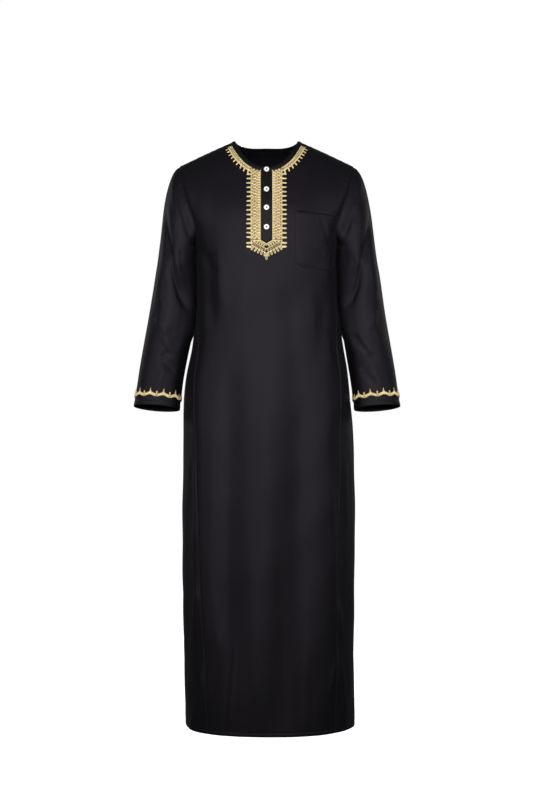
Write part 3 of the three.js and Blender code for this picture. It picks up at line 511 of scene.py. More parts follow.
frontPanel = panelPiece("robeFront", "front")
backPanel = panelPiece("robeBack", "back")
rightGore = sidePiece("sideGoreRight", -1)
leftGore = sidePiece("sideGoreLeft", 1)
print("body cloth made, square metres:",
      [round(areaOf(piece) / 2, 3) for piece in (frontPanel, backPanel, rightGore, leftGore)])

# Sleeves

sleeve = {"columns": 104, "upperLength": 170, "upperStep": 5, "lowerStep": 4.6, "cuffLevel": -640,
          "armholePoints": 400, "underPoints": 41, "cuffStitch": 10.5, "startsFolding": 0.33,
          "headRadius": 75, "cuffRadius": 52, "waveShift": 700,
          "calm": 0.85, "calmStarts": 570, "calmFull": 612}
sleeveLean = {"sideRise": 0.08, "cuffRise": 10, "cuffRiseStarts": 480, "cuff": 640, "shift": 1.2}
sleeveHead = {"leaveOut": 0.9, "leaveDown": 0.42, "leaveReach": 25, "outerReach": 105,
              "arriveOut": 0.13, "arriveDown": 0.99, "arriveShare": 0.75}
sleeveSections = table(      # press moves the inner side towards the body
    "z middle forward halfWidth halfDepth press",
    (-300, 221.5, -6, 43.5, 77, 9), (-350, 226.5, -8, 47, 73, 12), (-397, 231, -6, 51, 69, 13),
    (-491, 245, 6, 52.5, 62, 6), (-560, 255.5, 18, 53, 55, 2.5), (-602, 261.5, 26, 53, 50, 3.5),
    (-640, 266.5, 33, 53, 46, 4))
besideBody = {"gap": 0.9, "starts": 250, "full": 258, "opens": 440, "openRate": 0.06, "ends": 520}
bothFront = [
    (239, -165, 184, -425, 15, 13, -8, 0), (212, -95, 172, -250, 8, 9, -5, 0),
    (262, -230, 252, -470, 4, 15, 4, 0), (252, -498, 214, -560, 4, 13, -5, 0),
    (246, -330, 282, -470, -4, 13, -3, 0)]
bothBack = [
    (240, -180, 190, -440, 12, 14, -8, 0), (214, -100, 174, -250, 8, 9, -5, 0),
    (285, -330, 220, -445, -6, 13, -6, 0), (292, -400, 222, -500, -6, 13, -5, 0),
    (264, -230, 274, -390, 4, 14, 4, 0)]
# x is outwards on both sleeves
sleeveFronts = {
    -1: table(
        foldNames, *bothFront,
        (243, -150, 232, -300, 5, 6, -3.6, 0.5), (232, -262, 184, -425, 8, 6, -3.4, 0.6),
        (222, -80, 196, -215, 6, 7, 3.4, 0), (262, -470, 222, -520, 5, 7, -3, 0.4),
        (270, -420, 236, -470, -4, 8, 2.4, 0), (256, -345, 228, -430, 5, 8, 2, 0),
        (232, -530, 268, -600, 3, 9, 1.8, 0), (276, -250, 268, -420, 2, 7, -1.8, 0),
        (206, -255, 196, -330, 3, 6, -2.6, 0.4), (232, -440, 212, -500, 3, 7, -2.6, 0)),
    1: table(
        foldNames, *bothFront,
        (246, -160, 228, -300, 6, 6, -3.8, -0.5), (226, -275, 186, -405, 6, 6, -3.2, -0.6),
        (222, -75, 200, -190, 6, 7, 3.2, 0), (206, -455, 244, -510, -4, 7, -3, 0.4),
        (262, -400, 238, -455, 4, 8, 2.6, 0), (284, -300, 262, -390, 3, 8, -2, 0),
        (228, -540, 264, -590, -3, 8, -2, 0), (252, -540, 280, -610, 2, 9, 1.8, 0),
        (204, -270, 196, -350, 3, 6, -2.4, -0.4)),
}
sleeveBacks = {
    -1: table(
        foldNames, *bothBack,
        (246, -210, 204, -360, 8, 6, -3.2, 0.5), (270, -290, 224, -400, -5, 7, 2.6, 0),
        (282, -365, 236, -455, -5, 6, 2.6, 0), (240, -520, 276, -600, 4, 8, -2, 0)),
    1: table(
        foldNames, *bothBack,
        (250, -200, 206, -340, 8, 6, -3, -0.5), (276, -300, 228, -410, -5, 7, 2.4, 0),
        (280, -380, 230, -470, -5, 6, 2.6, 0), (236, -510, 270, -590, 4, 8, -2, 0)),
}


def lowerSleevePoint(side, z, turn):      # by level, and the turn from the outer line to the front
    middle, ahead, width, depth, press = (readTable(sleeveSections, "z", name, z) for name in (
        "middle", "forward", "halfWidth", "halfDepth", "press"))
    across, forward = np.cos(turn), np.sin(turn)
    cuffShare = smoothStep(-z, sleeveLean["cuffRiseStarts"], sleeveLean["cuff"])
    x = side * (middle + across * width - press * ((1 - across) / 2) ** 2) + sleeveLean["shift"]
    level = z + cuffShare * sleeveLean["cuffRise"] * forward + across * width * sleeveLean["sideRise"]
    return np.stack(np.broadcast_arrays(x, -ahead - forward * depth, level), -1)


def upperSleevePoint(side, start, end, turn, t):      # from the armhole to the first whole ring
    outer = ((1 + np.cos(turn)) / 2)[..., None]
    leave = np.concatenate([0 * outer + side * sleeveHead["leaveOut"], 0 * outer,
                            -sleeveHead["leaveDown"] * outer], -1)
    leave = leave * (sleeveHead["leaveReach"] + sleeveHead["outerReach"] * outer)
    arrive = np.array([side * sleeveHead["arriveOut"], 0, -sleeveHead["arriveDown"]])
    length = np.linalg.norm(end - start, axis=-1, keepdims=True)
    arrive = arrive * length * mix(sleeveHead["arriveShare"], 1, outer)
    return hermite(t[..., None], start, leave, end, arrive)


def armholeLoop(side):      # down the front edge, under the arm and up the back edge, in even steps
    rise = np.linspace(1, 0, sleeve["armholePoints"])
    across = np.linspace(0, 1, sleeve["underPoints"])
    edges = (chestPlace("front", side + 0 * rise, rise),
             sidePlace(side, across, body["underarm"] + 0 * across),
             chestPlace("back", side + 0 * rise, rise))
    front, under, back = (point - panel["seamDip"] * normal for point, normal in edges)
    lowest = len(across) // 2
    halves = (np.concatenate([front, under[1:lowest + 1]]), np.concatenate([under[lowest:-1], back[::-1]]))
    loop = []
    for half in halves:
        length = runLength(half[None], 1)[0]
        at = np.linspace(0, length[-1], sleeve["columns"] // 2 + 1)[:-1]
        loop.append(np.stack([np.interp(at, length, half[:, axis]) for axis in range(3)], -1))
    return np.concatenate(loop)


def gridNormals(points, side):      # of a grid that closes round its columns
    across = np.roll(points, -1, 1) - np.roll(points, 1, 1)
    along = np.gradient(points, axis=0)
    return unit(np.cross(across, along)) * side


def restOnBody(side, points, turn):      # the inner side lies along the body's side, then opens
    y, z = points[..., 1], points[..., 2]
    depth, width, power = depthAt(z, -y), halfWidthAt(z, side), body["roundness"]
    share = np.minimum(np.abs(y / depth), 0.95)
    x = width * (1 - share ** power) ** (1 / power)
    normal = unit(np.stack([side * (x / width) ** (power - 1) / width,
                            np.sign(y) * share ** (power - 1) / depth, 0 * y], -1))
    relief = clothHeight(np.stack([side * x, y, z], -1), normal)
    gap = besideBody["gap"] + np.maximum(0, -z - besideBody["opens"]) * besideBody["openRate"]
    beside = x + relief * np.abs(normal[..., 0]) + gap
    weight = smoothStep(-np.cos(turn), 0.45, 0.92) * smoothStep(-z, besideBody["starts"], besideBody["full"])
    weight = weight * (1 - smoothStep(-z, besideBody["opens"], besideBody["ends"]))
    outwards = side * points[..., 0]
    return np.stack([side * mix(outwards, beside, weight), y, z], -1)


def sleeveHeight(side, plain, normals, started):      # the folds and the slow waves, calm at the cuff
    outwards, level = side * (plain[..., 0] - sleeveLean["shift"]), plain[..., 2]
    height = np.where(normals[..., 1] < 0, foldHeight(sleeveFronts[side], outwards, level),
                      foldHeight(sleeveBacks[side], outwards, level))
    height = height * started * smoothStep(np.abs(normals[..., 1]), 0.08, 0.55)
    calm = 1 - sleeve["calm"] * smoothStep(-level, sleeve["calmStarts"], sleeve["calmFull"])
    return (height + slowWaves(plain + sleeve["waveShift"]) * started) * calm


def sleevePiece(name, side):
    start = armholeLoop(side)
    turn = np.linspace(0, 2 * math.pi, sleeve["columns"], endpoint=False)
    first, last = sleeveSections["z"][0], sleeve["cuffLevel"]
    cuffExtra = sleeve["cuffStitch"] - panel["hemStitch"]      # a cuff's hem is deeper than the skirt's
    end = lowerSleevePoint(side, first, turn)
    upper = graded(sleeve["upperLength"], sleeve["upperStep"], fineSteps, fineSteps[:1])
    upper = upper[:-1, None] / sleeve["upperLength"]
    lower = graded(first - last, sleeve["lowerStep"], fineSteps[:1], hemSteps + cuffExtra)[:, None]
    lower = np.vstack([lower, [[first - last]]])
    plain = np.concatenate([
        upperSleevePoint(side, start[None], end[None], turn[None] + 0 * upper, upper + 0 * turn[None]),
        lowerSleevePoint(side, first - lower, turn[None])])
    normals = gridNormals(plain, side)
    started = np.concatenate([smoothStep(upper, 0, sleeve["startsFolding"]), 1 + 0 * lower])
    height = sleeveHeight(side, plain, normals, started)
    along = runLength(plain, 0)
    height += seamHeight(along, turn[None] * sleeve["headRadius"]) * (along > 0)
    height += hemHeight(along[-1:] - along - cuffExtra, turn[None] * sleeve["cuffRadius"])
    points = restOnBody(side, plain + normals * height[..., None], turn[None])
    return shell(name, points, gridNormals(points, side), body["wall"], ring=True)


rightSleeve = sleevePiece("sleeveRight", -1)
leftSleeve = sleevePiece("sleeveLeft", 1)
print("sleeves made, square metres:", [round(areaOf(piece) / 2, 3) for piece in (rightSleeve, leftSleeve)])

# Neck binding, placket and pocket

binding = {"stations": 232, "seam": 9.4, "pull": 0.14}
bindingSection = table(      # once round its section: out from the neck edge, and up off the cloth
    "out rise",
    (11.7, -0.6), (11.6, 0.3), (11.1, 0.62), (10.3, 0.62), (9.8, 0.42), (9.4, 0.22), (9, 0.45), (8.2, 0.95),
    (7, 1.36), (5.5, 1.55), (4, 1.5), (2.6, 1.25), (1.3, 0.8), (0.4, 0.15), (-0.1, -0.6), (0.3, -1.2),
    (1.6, -1.35), (4, -1.25), (7, -1.2), (9.5, -1.2), (11.2, -1.1))


def neckBindingPiece():
    turn = np.linspace(0, 2 * math.pi, binding["stations"], endpoint=False)[:, None]
    out, rise = bindingSection["out"][None], bindingSection["rise"][None]
    pull = binding["pull"] * np.sin(turn * 61 + 2 * np.sin(turn * 5))
    pull = pull * np.exp(-((out - binding["seam"]) / 3) ** 2)
    points, _ = onBody(*fromNeck(turn, out), rise + pull * (rise > 0))
    rows, columns = points.shape[:2]
    ids = np.arange(rows * columns).reshape(rows, columns)
    wide = np.pad(ids, ((0, 1), (0, 1)), mode="wrap")
    faces = quadsOf(wide.T)
    closed = np.pad(points, ((0, 1), (0, 1), (0, 0)), mode="wrap")
    uv = np.stack([runLength(closed, 0), runLength(closed, 1)], -1) * mm
    grid = np.arange((rows + 1) * (columns + 1)).reshape(rows + 1, columns + 1)
    corners = quadsOf(grid.T)
    middle = points.mean(1, keepdims=True)
    first = points.reshape(-1, 3)[faces]
    facing = np.cross(first[:, 1] - first[:, 0], first[:, 2] - first[:, 0])
    if np.sum(facing * (points - middle).reshape(-1, 3)[faces[:, 0]]) < 0:
        faces, corners = faces[:, ::-1], corners[:, ::-1]
    return meshPiece("neckBindingRoll", points.reshape(-1, 3), faces, uv.reshape(-1, 2)[corners])


frontTurns = np.linspace(0, math.pi / 2, 160)
frontEdge = fromNeck(frontTurns, neck["binding"])
frontEdgeLevels = plainPoint(*frontEdge)[..., 2]


def bindingLevel(x):      # the level of the binding's outer edge in front
    return np.interp(np.abs(x), frontEdge[0], frontEdgeLevels)


placket = {"halfWidth": 13, "shoulderLevel": -243, "tipLevel": -250,
           "length": 160, "step": 1.5, "columns": 45, "margin": 3,
           "lift": 1.15, "raised": 1.05, "thickness": 1.1, "stitchIn": 1.5, "tucked": 0.8}


def placketBottom(x):
    return mix(placket["tipLevel"], placket["shoulderLevel"], np.minimum(1, np.abs(x) / placket["halfWidth"]))


def placketPiece():
    share = np.linspace(-1, 1, placket["columns"])[None]
    x = placket["halfWidth"] * np.sign(share) * np.abs(share) ** 0.9
    top, bottom = bindingLevel(x) + placket["tucked"], placketBottom(x)
    down = graded(placket["length"], placket["step"], fineSteps[:1], fineSteps[:6])[:, None]
    z = mix(top, bottom, down / placket["length"])
    fall = placket["tipLevel"] - placket["shoulderLevel"]
    slope = math.hypot(placket["halfWidth"], fall) / placket["halfWidth"]
    fromEdge = np.minimum(placket["halfWidth"] - np.abs(x), (z - bottom) / slope)
    raised = smoothStep(fromEdge, placket["margin"] - 0.5, placket["margin"] + 0.6)
    groove = np.exp(-((fromEdge - placket["margin"] - placket["stitchIn"]) / 0.6) ** 2)
    soft = 0.25 * np.sin(z / 9 + np.sin(z / 23)) * np.exp(-(x / 9) ** 2)
    lift = placket["lift"] + placket["raised"] * raised - 0.3 * groove + soft - 0.5 * (fromEdge < 0.3)
    points, normals = onChest(x + 0 * z, z, lift)
    return shell("placketBand", points, normals, placket["thickness"])


pocket = {"left": 68, "top": -174, "width": 96, "height": 128, "step": 2.2, "lean": 6, "taper": 0.08,
          "corner": 14, "lift": 1.9, "crown": 1.3, "crownReach": 26, "thickness": 1.2, "hemBand": 12.5,
          "edgeStitch": 1.6, "mouth": 1.1, "mouthReach": 30}
pocketFolds = table(
    foldNames,
    (118, -170, 158, -285, 2, 4.5, -1.1, 0.5), (88, -252, 140, -274, -4, 3.6, -0.9, 0.4),
    (80, -266, 150, -287, -4, 3.6, -1, 0.4), (76, -190, 84, -250, 2, 6, -0.5, 0),
    (140, -195, 150, -240, 1, 5, 0.6, 0))


def pocketPlace(across, down):      # both run from 0 to 1; returns x, z, and mm to the nearest sewn edge
    right = pocket["left"] + pocket["width"]
    middleLevel = pocket["top"] - pocket["height"] / 2
    middleDown = downAt(ridgeLevel(pocket["left"]) - middleLevel)
    start, end = (angleOf(np.array(edge), middleDown) for edge in (pocket["left"], right))
    full = np.sin(mix(start, end, across)) ** (2 / body["roundness"]) * halfWidthAt(middleLevel, 1)
    x = mix(full, pocket["left"], pocket["taper"] * down)
    fromSide = np.minimum(full - pocket["left"], right - full)
    cornerShare = 1 - np.clip(fromSide / pocket["corner"], 0, 1)
    rounding = pocket["corner"] * (1 - np.sqrt(1 - cornerShare ** 2))
    z = pocket["top"] - (full - pocket["left"]) * math.tan(math.radians(pocket["lean"]))
    fromBottom = (1 - down) * (pocket["height"] - rounding)
    return x, z - (pocket["height"] - rounding) * down, np.minimum(fromSide, fromBottom)


def pocketHeight(across, down):      # x, z and height off the chest
    x, z, fromEdge = pocketPlace(across, down)
    inside = smoothStep(fromEdge, 0, pocket["crownReach"])
    band = down * pocket["height"]
    height = pocket["crown"] * inside + foldHeight(pocketFolds, x, z) * smoothStep(fromEdge, 1, 10)
    height -= 0.45 * np.exp(-((fromEdge - pocket["edgeStitch"]) / 0.8) ** 2) + 0.5 * (fromEdge < 0.2)
    height += 0.5 * (1 - smoothStep(band, pocket["hemBand"] - 0.5, pocket["hemBand"] + 1.2))
    height -= 0.5 * np.exp(-((band - pocket["hemBand"]) / 0.8) ** 2)
    height += pocket["mouth"] * (1 - smoothStep(band, 0, pocket["mouthReach"])) * np.sin(math.pi * across)
    height += 0.14 * np.sin(z / 1.7) * np.exp(-((fromEdge - pocket["edgeStitch"]) / 3) ** 2)
    return x, z, pocket["lift"] + height


def pocketPiece():
    across = graded(100, pocket["step"])[None] / 100
    topSteps = hemSteps + pocket["hemBand"] - panel["hemStitch"]      # close rows at its hem's stitches
    down = graded(pocket["height"], pocket["step"], topSteps, fineSteps)[:, None] / pocket["height"]
    down = np.vstack([[[0]], down])
    points, normals = onChest(*pocketHeight(across, down))
    return shell("pocketPatch", points, normals, pocket["thickness"])


bindingPiece, placketBand, pocketPatch = neckBindingPiece(), placketPiece(), pocketPiece()
print("binding, placket and pocket made, square metres:",
      [round(areaOf(piece) / 2, 4) for piece in (bindingPiece, placketBand, pocketPatch)])

# Finishes


def shaderGroup(name, inputs, outputs):
    group = bpy.data.node_groups.new(name, "ShaderNodeTree")
    for label, kind, value in inputs:
        socket = group.interface.new_socket(label, in_out="INPUT", socket_type=kind)
        if value is not None:
            socket.default_value = value
    for label, kind in outputs:
        group.interface.new_socket(label, in_out="OUTPUT", socket_type=kind)
    return group, group.nodes.new("NodeGroupInput").outputs, group.nodes.new("NodeGroupOutput").inputs


def addNode(tree, kind, inputs=(), **settings):      # inputs: socket name or number, and a value or an output
    node = tree.nodes.new(kind)
    for key, value in settings.items():
        setattr(node, key, value)
    for key, value in dict(inputs).items():
        if isinstance(value, bpy.types.NodeSocket):
            tree.links.new(value, node.inputs[key])
        else:
            node.inputs[key].default_value = value
    return node


def calc(tree, operation, *values):
    return addNode(tree, "ShaderNodeMath", enumerate(values), operation=operation).outputs[0]


def twillGroup():      # raised diagonal lines crossed by fine threads, read from a cloth's own flat plan
    group, given, out = shaderGroup(
        "twillWeave",
        [("Flat plan", "NodeSocketVector", None), ("Pitch", "NodeSocketFloat", 0.0008),
         ("Slant", "NodeSocketFloat", 1.05), ("Thread", "NodeSocketFloat", 0.35)],
        [("Height", "NodeSocketFloat")])
    flat = addNode(group, "ShaderNodeSeparateXYZ", {0: given["Flat plan"]}).outputs
    across = calc(group, "MULTIPLY", flat[0], calc(group, "COSINE", given["Slant"]))
    along = calc(group, "MULTIPLY", flat[1], calc(group, "SINE", given["Slant"]))
    turns = calc(group, "DIVIDE", calc(group, "ADD", across, along), given["Pitch"])
    wale = calc(group, "SINE", calc(group, "MULTIPLY", turns, 2 * math.pi))
    rows = calc(group, "DIVIDE", flat[1], calc(group, "MULTIPLY", given["Pitch"], 0.5))
    thread = calc(group, "SINE", calc(group, "MULTIPLY", rows, 2 * math.pi))
    height = calc(group, "ADD", wale, calc(group, "MULTIPLY", thread, given["Thread"]))
    group.links.new(calc(group, "MULTIPLY_ADD", height, 0.37, 0.5), out["Height"])
    return group


def unevenGroup():      # slow changes over a surface, with a little fine grain in them
    group, given, out = shaderGroup(
        "unevenness",
        [("Place", "NodeSocketVector", None), ("Patches per metre", "NodeSocketFloat", 6.0),
         ("Grain per metre", "NodeSocketFloat", 900.0), ("Grain share", "NodeSocketFloat", 0.3)],
        [("Factor", "NodeSocketFloat")])
    patches = addNode(group, "ShaderNodeTexNoise", {
        "Vector": given["Place"], "Scale": given["Patches per metre"], "Detail": 3.0, "Roughness": 0.55})
    grain = addNode(group, "ShaderNodeTexNoise", {
        "Vector": given["Place"], "Scale": given["Grain per metre"], "Detail": 1.0})
    mixed = addNode(group, "ShaderNodeMix", {0: given["Grain share"], 2: patches.outputs["Fac"],
                                             3: grain.outputs["Fac"]})
    group.links.new(mixed.outputs[0], out["Factor"])
    return group


twillWeave, unevenness = twillGroup(), unevenGroup()


def newMaterial(name, **constants):      # constants are set on the shader's own sockets
    material = bpy.data.materials.new(name)
    material.use_nodes = True
    shader = material.node_tree.nodes["Principled BSDF"]
    for key, value in constants.items():
        shader.inputs[key.replace("_", " ")].default_value = value
    return material, material.node_tree, shader


def addGroup(tree, group, inputs):
    return addNode(tree, "ShaderNodeGroup", inputs, node_tree=group).outputs[0]


def colourBetween(tree, factor, low, high):
    ramp = addNode(tree, "ShaderNodeMix", {0: factor}, data_type="RGBA")
    ramp.inputs[6].default_value, ramp.inputs[7].default_value = (*low, 1), (*high, 1)
    return ramp.outputs[2]


def setSurface(tree, shader, colour, roughness):
    tree.links.new(colour, shader.inputs["Base Color"])
    tree.links.new(roughness, shader.inputs["Roughness"])


def addRelief(tree, shader, height, strength, distance):
    relief = addNode(tree, "ShaderNodeBump", {"Height": height, "Strength": strength, "Distance": distance})
    tree.links.new(relief.outputs[0], shader.inputs["Normal"])


def suiting(name, dark, light, pitch, bump):
    material, tree, shader = newMaterial(name, Sheen_Weight=0.01, Sheen_Roughness=0.4,
                                         Specular_IOR_Level=0.145, Specular_Tint=(0.96, 0.88, 1, 1))
    place = addNode(tree, "ShaderNodeTexCoord").outputs
    weave = addGroup(tree, twillWeave, {"Flat plan": place["UV"], "Pitch": pitch})
    uneven = addGroup(tree, unevenness, {"Place": place["Object"]})
    shade = calc(tree, "MULTIPLY_ADD", weave, 0.45, calc(tree, "MULTIPLY", uneven, 0.55))
    setSurface(tree, shader, colourBetween(tree, shade, dark, light),
               calc(tree, "MULTIPLY_ADD", uneven, 0.12, 0.46))
    addRelief(tree, shader, weave, bump, 0.00015)
    return material


def strandGroup():      # fine filaments that run along a stitch, or round it
    group, given, out = shaderGroup(
        "threadFilaments",
        [("Flat plan", "NodeSocketVector", None), ("Filaments", "NodeSocketFloat", 14.0),
         ("Spiral", "NodeSocketFloat", 3.0)],
        [("Height", "NodeSocketFloat")])
    flat = addNode(group, "ShaderNodeSeparateXYZ", {0: given["Flat plan"]}).outputs
    lines = calc(group, "MULTIPLY", flat[0], given["Filaments"])
    turns = calc(group, "MULTIPLY_ADD", flat[1], given["Spiral"], lines)
    wave = calc(group, "SINE", calc(group, "MULTIPLY", turns, 2 * math.pi))
    group.links.new(calc(group, "MULTIPLY_ADD", wave, 0.5, 0.5), out["Height"])
    return group


threadFilaments = strandGroup()


def goldThread(name):
    material, tree, shader = newMaterial(name, Sheen_Weight=0.12, Sheen_Roughness=0.3, Specular_IOR_Level=0.7)
    place = addNode(tree, "ShaderNodeTexCoord").outputs
    shade = addNode(tree, "ShaderNodeAttribute", attribute_name="shade").outputs["Fac"]
    uneven = addGroup(tree, unevenness, {"Place": place["Object"], "Patches per metre": 160.0,
                                         "Grain per metre": 1500.0, "Grain share": 0.4})
    filaments = addGroup(tree, threadFilaments, {"Flat plan": place["UV"]})
    tone = calc(tree, "ADD", shade, calc(tree, "MULTIPLY_ADD", uneven, 0.5, -0.25))
    tone = calc(tree, "ADD", tone, calc(tree, "MULTIPLY_ADD", filaments, 0.16, -0.1))
    # the low colour is the threads' darkest tone, and also the painted shade of the stitches laid in holes
    setSurface(tree, shader, colourBetween(tree, tone, (0.035, 0.014, 0.005), (1, 0.81, 0.41)),
               calc(tree, "MULTIPLY_ADD", uneven, 0.25, 0.28))
    addRelief(tree, shader, filaments, 0.5, 0.0001)
    return material


def goldGround(name, low, high):      # the dark ground that shows between the threads
    material, tree, shader = newMaterial(name, Specular_IOR_Level=0.25, Sheen_Weight=0.1)
    place = addNode(tree, "ShaderNodeTexCoord").outputs
    weave = addGroup(tree, twillWeave, {"Flat plan": place["UV"], "Pitch": 0.0011, "Slant": 0.7,
                                        "Thread": 0.8})
    uneven = addGroup(tree, unevenness, {"Place": place["Object"], "Patches per metre": 120.0})
    shade = calc(tree, "MULTIPLY_ADD", weave, 0.4, calc(tree, "MULTIPLY", uneven, 0.6))
    setSurface(tree, shader, colourBetween(tree, shade, low, high),
               calc(tree, "MULTIPLY_ADD", weave, -0.2, 0.75))
    addRelief(tree, shader, weave, 0.6, 0.0002)
    return material


def darkThread(name, light):
    material, tree, shader = newMaterial(name, Specular_IOR_Level=0.4, Sheen_Weight=0.15)
    place = addNode(tree, "ShaderNodeTexCoord").outputs
    filaments = addGroup(tree, threadFilaments, {"Flat plan": place["UV"], "Filaments": 9.0})
    setSurface(tree, shader, colourBetween(tree, filaments, (light * 0.5,) * 3, (light, light, light * 1.1)),
               calc(tree, "MULTIPLY_ADD", filaments, -0.15, 0.55))
    return material


def glossyButton(name):      # white, with faint cloudy bands
    material, tree, shader = newMaterial(name, Specular_IOR_Level=0.6)
    place = addNode(tree, "ShaderNodeTexCoord").outputs
    uneven = addGroup(tree, unevenness, {"Place": place["Object"], "Patches per metre": 260.0,
                                         "Grain share": 0.1})
    setSurface(tree, shader, colourBetween(tree, uneven, (0.72, 0.72, 0.7), (0.93, 0.93, 0.92)),
               calc(tree, "MULTIPLY_ADD", uneven, 0.12, 0.1))
    return material


# Stitches: each is a point with the way it runs, the way up, its size and its shade


def stitchTree():
    tree = bpy.data.node_groups.new("threadStitches", "GeometryNodeTree")
    for label, kind, value in (("Geometry", "NodeSocketGeometry", None), ("Sides", "NodeSocketInt", 7),
                               ("Rings", "NodeSocketInt", 5), ("Fullness", "NodeSocketFloat", 1.0),
                               ("Unevenness", "NodeSocketFloat", 0.08), ("Seed", "NodeSocketInt", 4),
                               ("Thread", "NodeSocketMaterial", None)):
        socket = tree.interface.new_socket(label, in_out="INPUT", socket_type=kind)
        if value is not None:
            socket.default_value = value
    tree.interface.new_socket("Geometry", in_out="OUTPUT", socket_type="NodeSocketGeometry")
    given = tree.nodes.new("NodeGroupInput").outputs
    ball = addNode(tree, "GeometryNodeMeshUVSphere", {"Segments": given["Sides"], "Rings": given["Rings"],
                                                      "Radius": 0.5})
    flat = addNode(tree, "GeometryNodeStoreNamedAttribute", {
        "Geometry": ball.outputs["Mesh"], "Name": "UVMap", "Value": ball.outputs["UV Map"]},
        data_type="FLOAT2", domain="CORNER")
    lying = addNode(tree, "GeometryNodeTransform", {"Geometry": flat.outputs[0],
                                                    "Rotation": (0, math.pi / 2, 0)})
    along, upward, size = (
        addNode(tree, "GeometryNodeInputNamedAttribute", {"Name": name}, data_type="FLOAT_VECTOR").outputs[0]
        for name in ("along", "upward", "size"))
    turned = addNode(tree, "FunctionNodeAxesToRotation", {0: upward, 1: along},
                     primary_axis="Z", secondary_axis="X")
    low, high = (calc(tree, way, 1.0, given["Unevenness"]) for way in ("SUBTRACT", "ADD"))
    varied = addNode(tree, "FunctionNodeRandomValue", {2: low, 3: high, "Seed": given["Seed"]},
                     data_type="FLOAT")
    scale = calc(tree, "MULTIPLY", varied.outputs[1], given["Fullness"])
    sized = addNode(tree, "ShaderNodeVectorMath", {0: size, "Scale": scale}, operation="SCALE")
    placed = addNode(tree, "GeometryNodeInstanceOnPoints", {
        "Points": given["Geometry"], "Instance": lying.outputs[0], "Rotation": turned.outputs[0],
        "Scale": sized.outputs[0]})
    real = addNode(tree, "GeometryNodeRealizeInstances", {0: placed.outputs[0]})
    smooth = addNode(tree, "GeometryNodeSetShadeSmooth", {"Geometry": real.outputs[0]})
    final = addNode(tree, "GeometryNodeSetMaterial", {"Geometry": smooth.outputs[0],
                                                      "Material": given["Thread"]})
    tree.links.new(final.outputs[0], tree.nodes.new("NodeGroupOutput").inputs[0])
    return tree


threadStitches = stitchTree()


# A row of a stitch list: across, up, turn from "across", length, width, height, shade and lift,
# in millimetres and radians. A place function turns across, up and lift into points and normals.
def sewn(name, place, rows, thread, sides=7, rings=5):
    rows = np.array(rows, float)
    at, way = rows[:, :2], np.stack([np.cos(rows[:, 2]), np.sin(rows[:, 2])], -1)
    point, normal = place(at[:, 0], at[:, 1], rows[:, 7])
    ahead, behind = (place(*(at + sign * way * 0.6).T, rows[:, 7])[0] for sign in (1, -1))
    mesh = bpy.data.meshes.new(name)
    mesh.from_pydata((point * mm).tolist(), [], [])
    for key, value in (("along", ahead - behind), ("upward", normal), ("size", rows[:, 3:6] * mm)):
        mesh.attributes.new(key, "FLOAT_VECTOR", "POINT").data.foreach_set("vector", value.ravel())
    mesh.attributes.new("shade", "FLOAT", "POINT").data.foreach_set("value", rows[:, 6])
    holder = addObject(name, mesh)
    modifier = holder.modifiers.new("stitches", "NODES")
    modifier.node_group = threadStitches
    sockets = {item.name: item.identifier for item in threadStitches.interface.items_tree
               if item.in_out == "INPUT"}
    modifier[sockets["Thread"]], modifier[sockets["Sides"]], modifier[sockets["Rings"]] = thread, sides, rings
    drawn = bpy.data.meshes.new_from_object(holder.evaluated_get(bpy.context.evaluated_depsgraph_get()))
    bpy.data.objects.remove(holder)
    return addObject(name, drawn)


def joined(piece, *others):      # one object from several, each with its own finish
    bpy.ops.object.select_all(action="DESELECT")
    for part in (piece, *others):
        part.select_set(True)
    bpy.context.view_layer.objects.active = piece
    bpy.ops.object.join()
    return piece


def cordRows(path, pitch, size, shade, lift, twist=0.55):      # a twisted cord: slanted stitches along a path
    path = np.array(path, float)
    length = runLength(path[None, :, :2], 1)[0]
    at = np.linspace(0, length[-1], max(2, int(round(length[-1] / pitch)) + 1))
    x, y = (np.interp(at, length, path[:, i]) for i in (0, 1))
    raised = np.interp(at, length, path[:, 2]) if path.shape[1] > 2 else 0 * at
    turn = np.arctan2(np.gradient(y), np.gradient(x)) + twist
    return [(a, b, c, *size, shade, lift + up) for a, b, c, up in zip(x, y, turn, raised)]


satin = {"pitch": 1.05, "width": 1.45, "height": 1.25, "slant": 0.12, "shadeChange": 0.12}


def satinTooth(x, y, way, length, width, shade, lift, tip=0.72):      # close stitches across a blunt tooth
    rows, count = [], int(round(length / satin["pitch"]))
    for i in range(count + 1):
        out = length * i / count
        past = max(0, out / length - tip) / (1.05 - tip)      # the tooth narrows past its tip share
        rows.append((x + out * math.cos(way), y + out * math.sin(way),
                     way + math.pi / 2 + satin["slant"] * (-1) ** i,
                     width * math.sqrt(max(0.12, 1 - past ** 2)), satin["width"], satin["height"],
                     shade + satin["shadeChange"] * math.sin(i * 2.4), lift))
    return rows


def eyelet(x, y, radius, shade, lift, count):      # a ring of short stitches
    size = (1.7, 0.95, 0.95)
    return [(x + radius * math.cos(t), y + radius * math.sin(t), t + math.pi / 2, *size, shade, lift)
            for t in np.linspace(0, 2 * math.pi, count, endpoint=False)]


# Gold embroidery

goldRaise = {"underlay": 1.3, "thread": 1.75, "groundThickness": 0.7}      # heights off the cloth
strip = {"inner": 13.4, "outer": 36.8, "bottom": -242.7, "pitch": 10.72, "teeth": 15, "toothLength": 9.3,
         "toothWidth": 4.6, "borderIn": 4.2, "borderWidth": 5.4, "borderPitch": 1.15, "holePitch": 5.9,
         "cordPitch": 1.35, "leavesIn": 7, "leafPitch": 3.7, "columns": 4}


def underlay(name, place, columns, rows):      # a thin dark ground under the threads
    points, normals = place(columns, rows, goldRaise["underlay"])
    return shell(name, points, normals, goldRaise["groundThickness"])


def embroidered(base, place, rows, ground, thread, sides=7, rings=5):      # joins a ground and its threads
    base.data.materials.append(ground)
    return joined(base, sewn(base.name + "Threads", place, rows, thread, sides, rings))


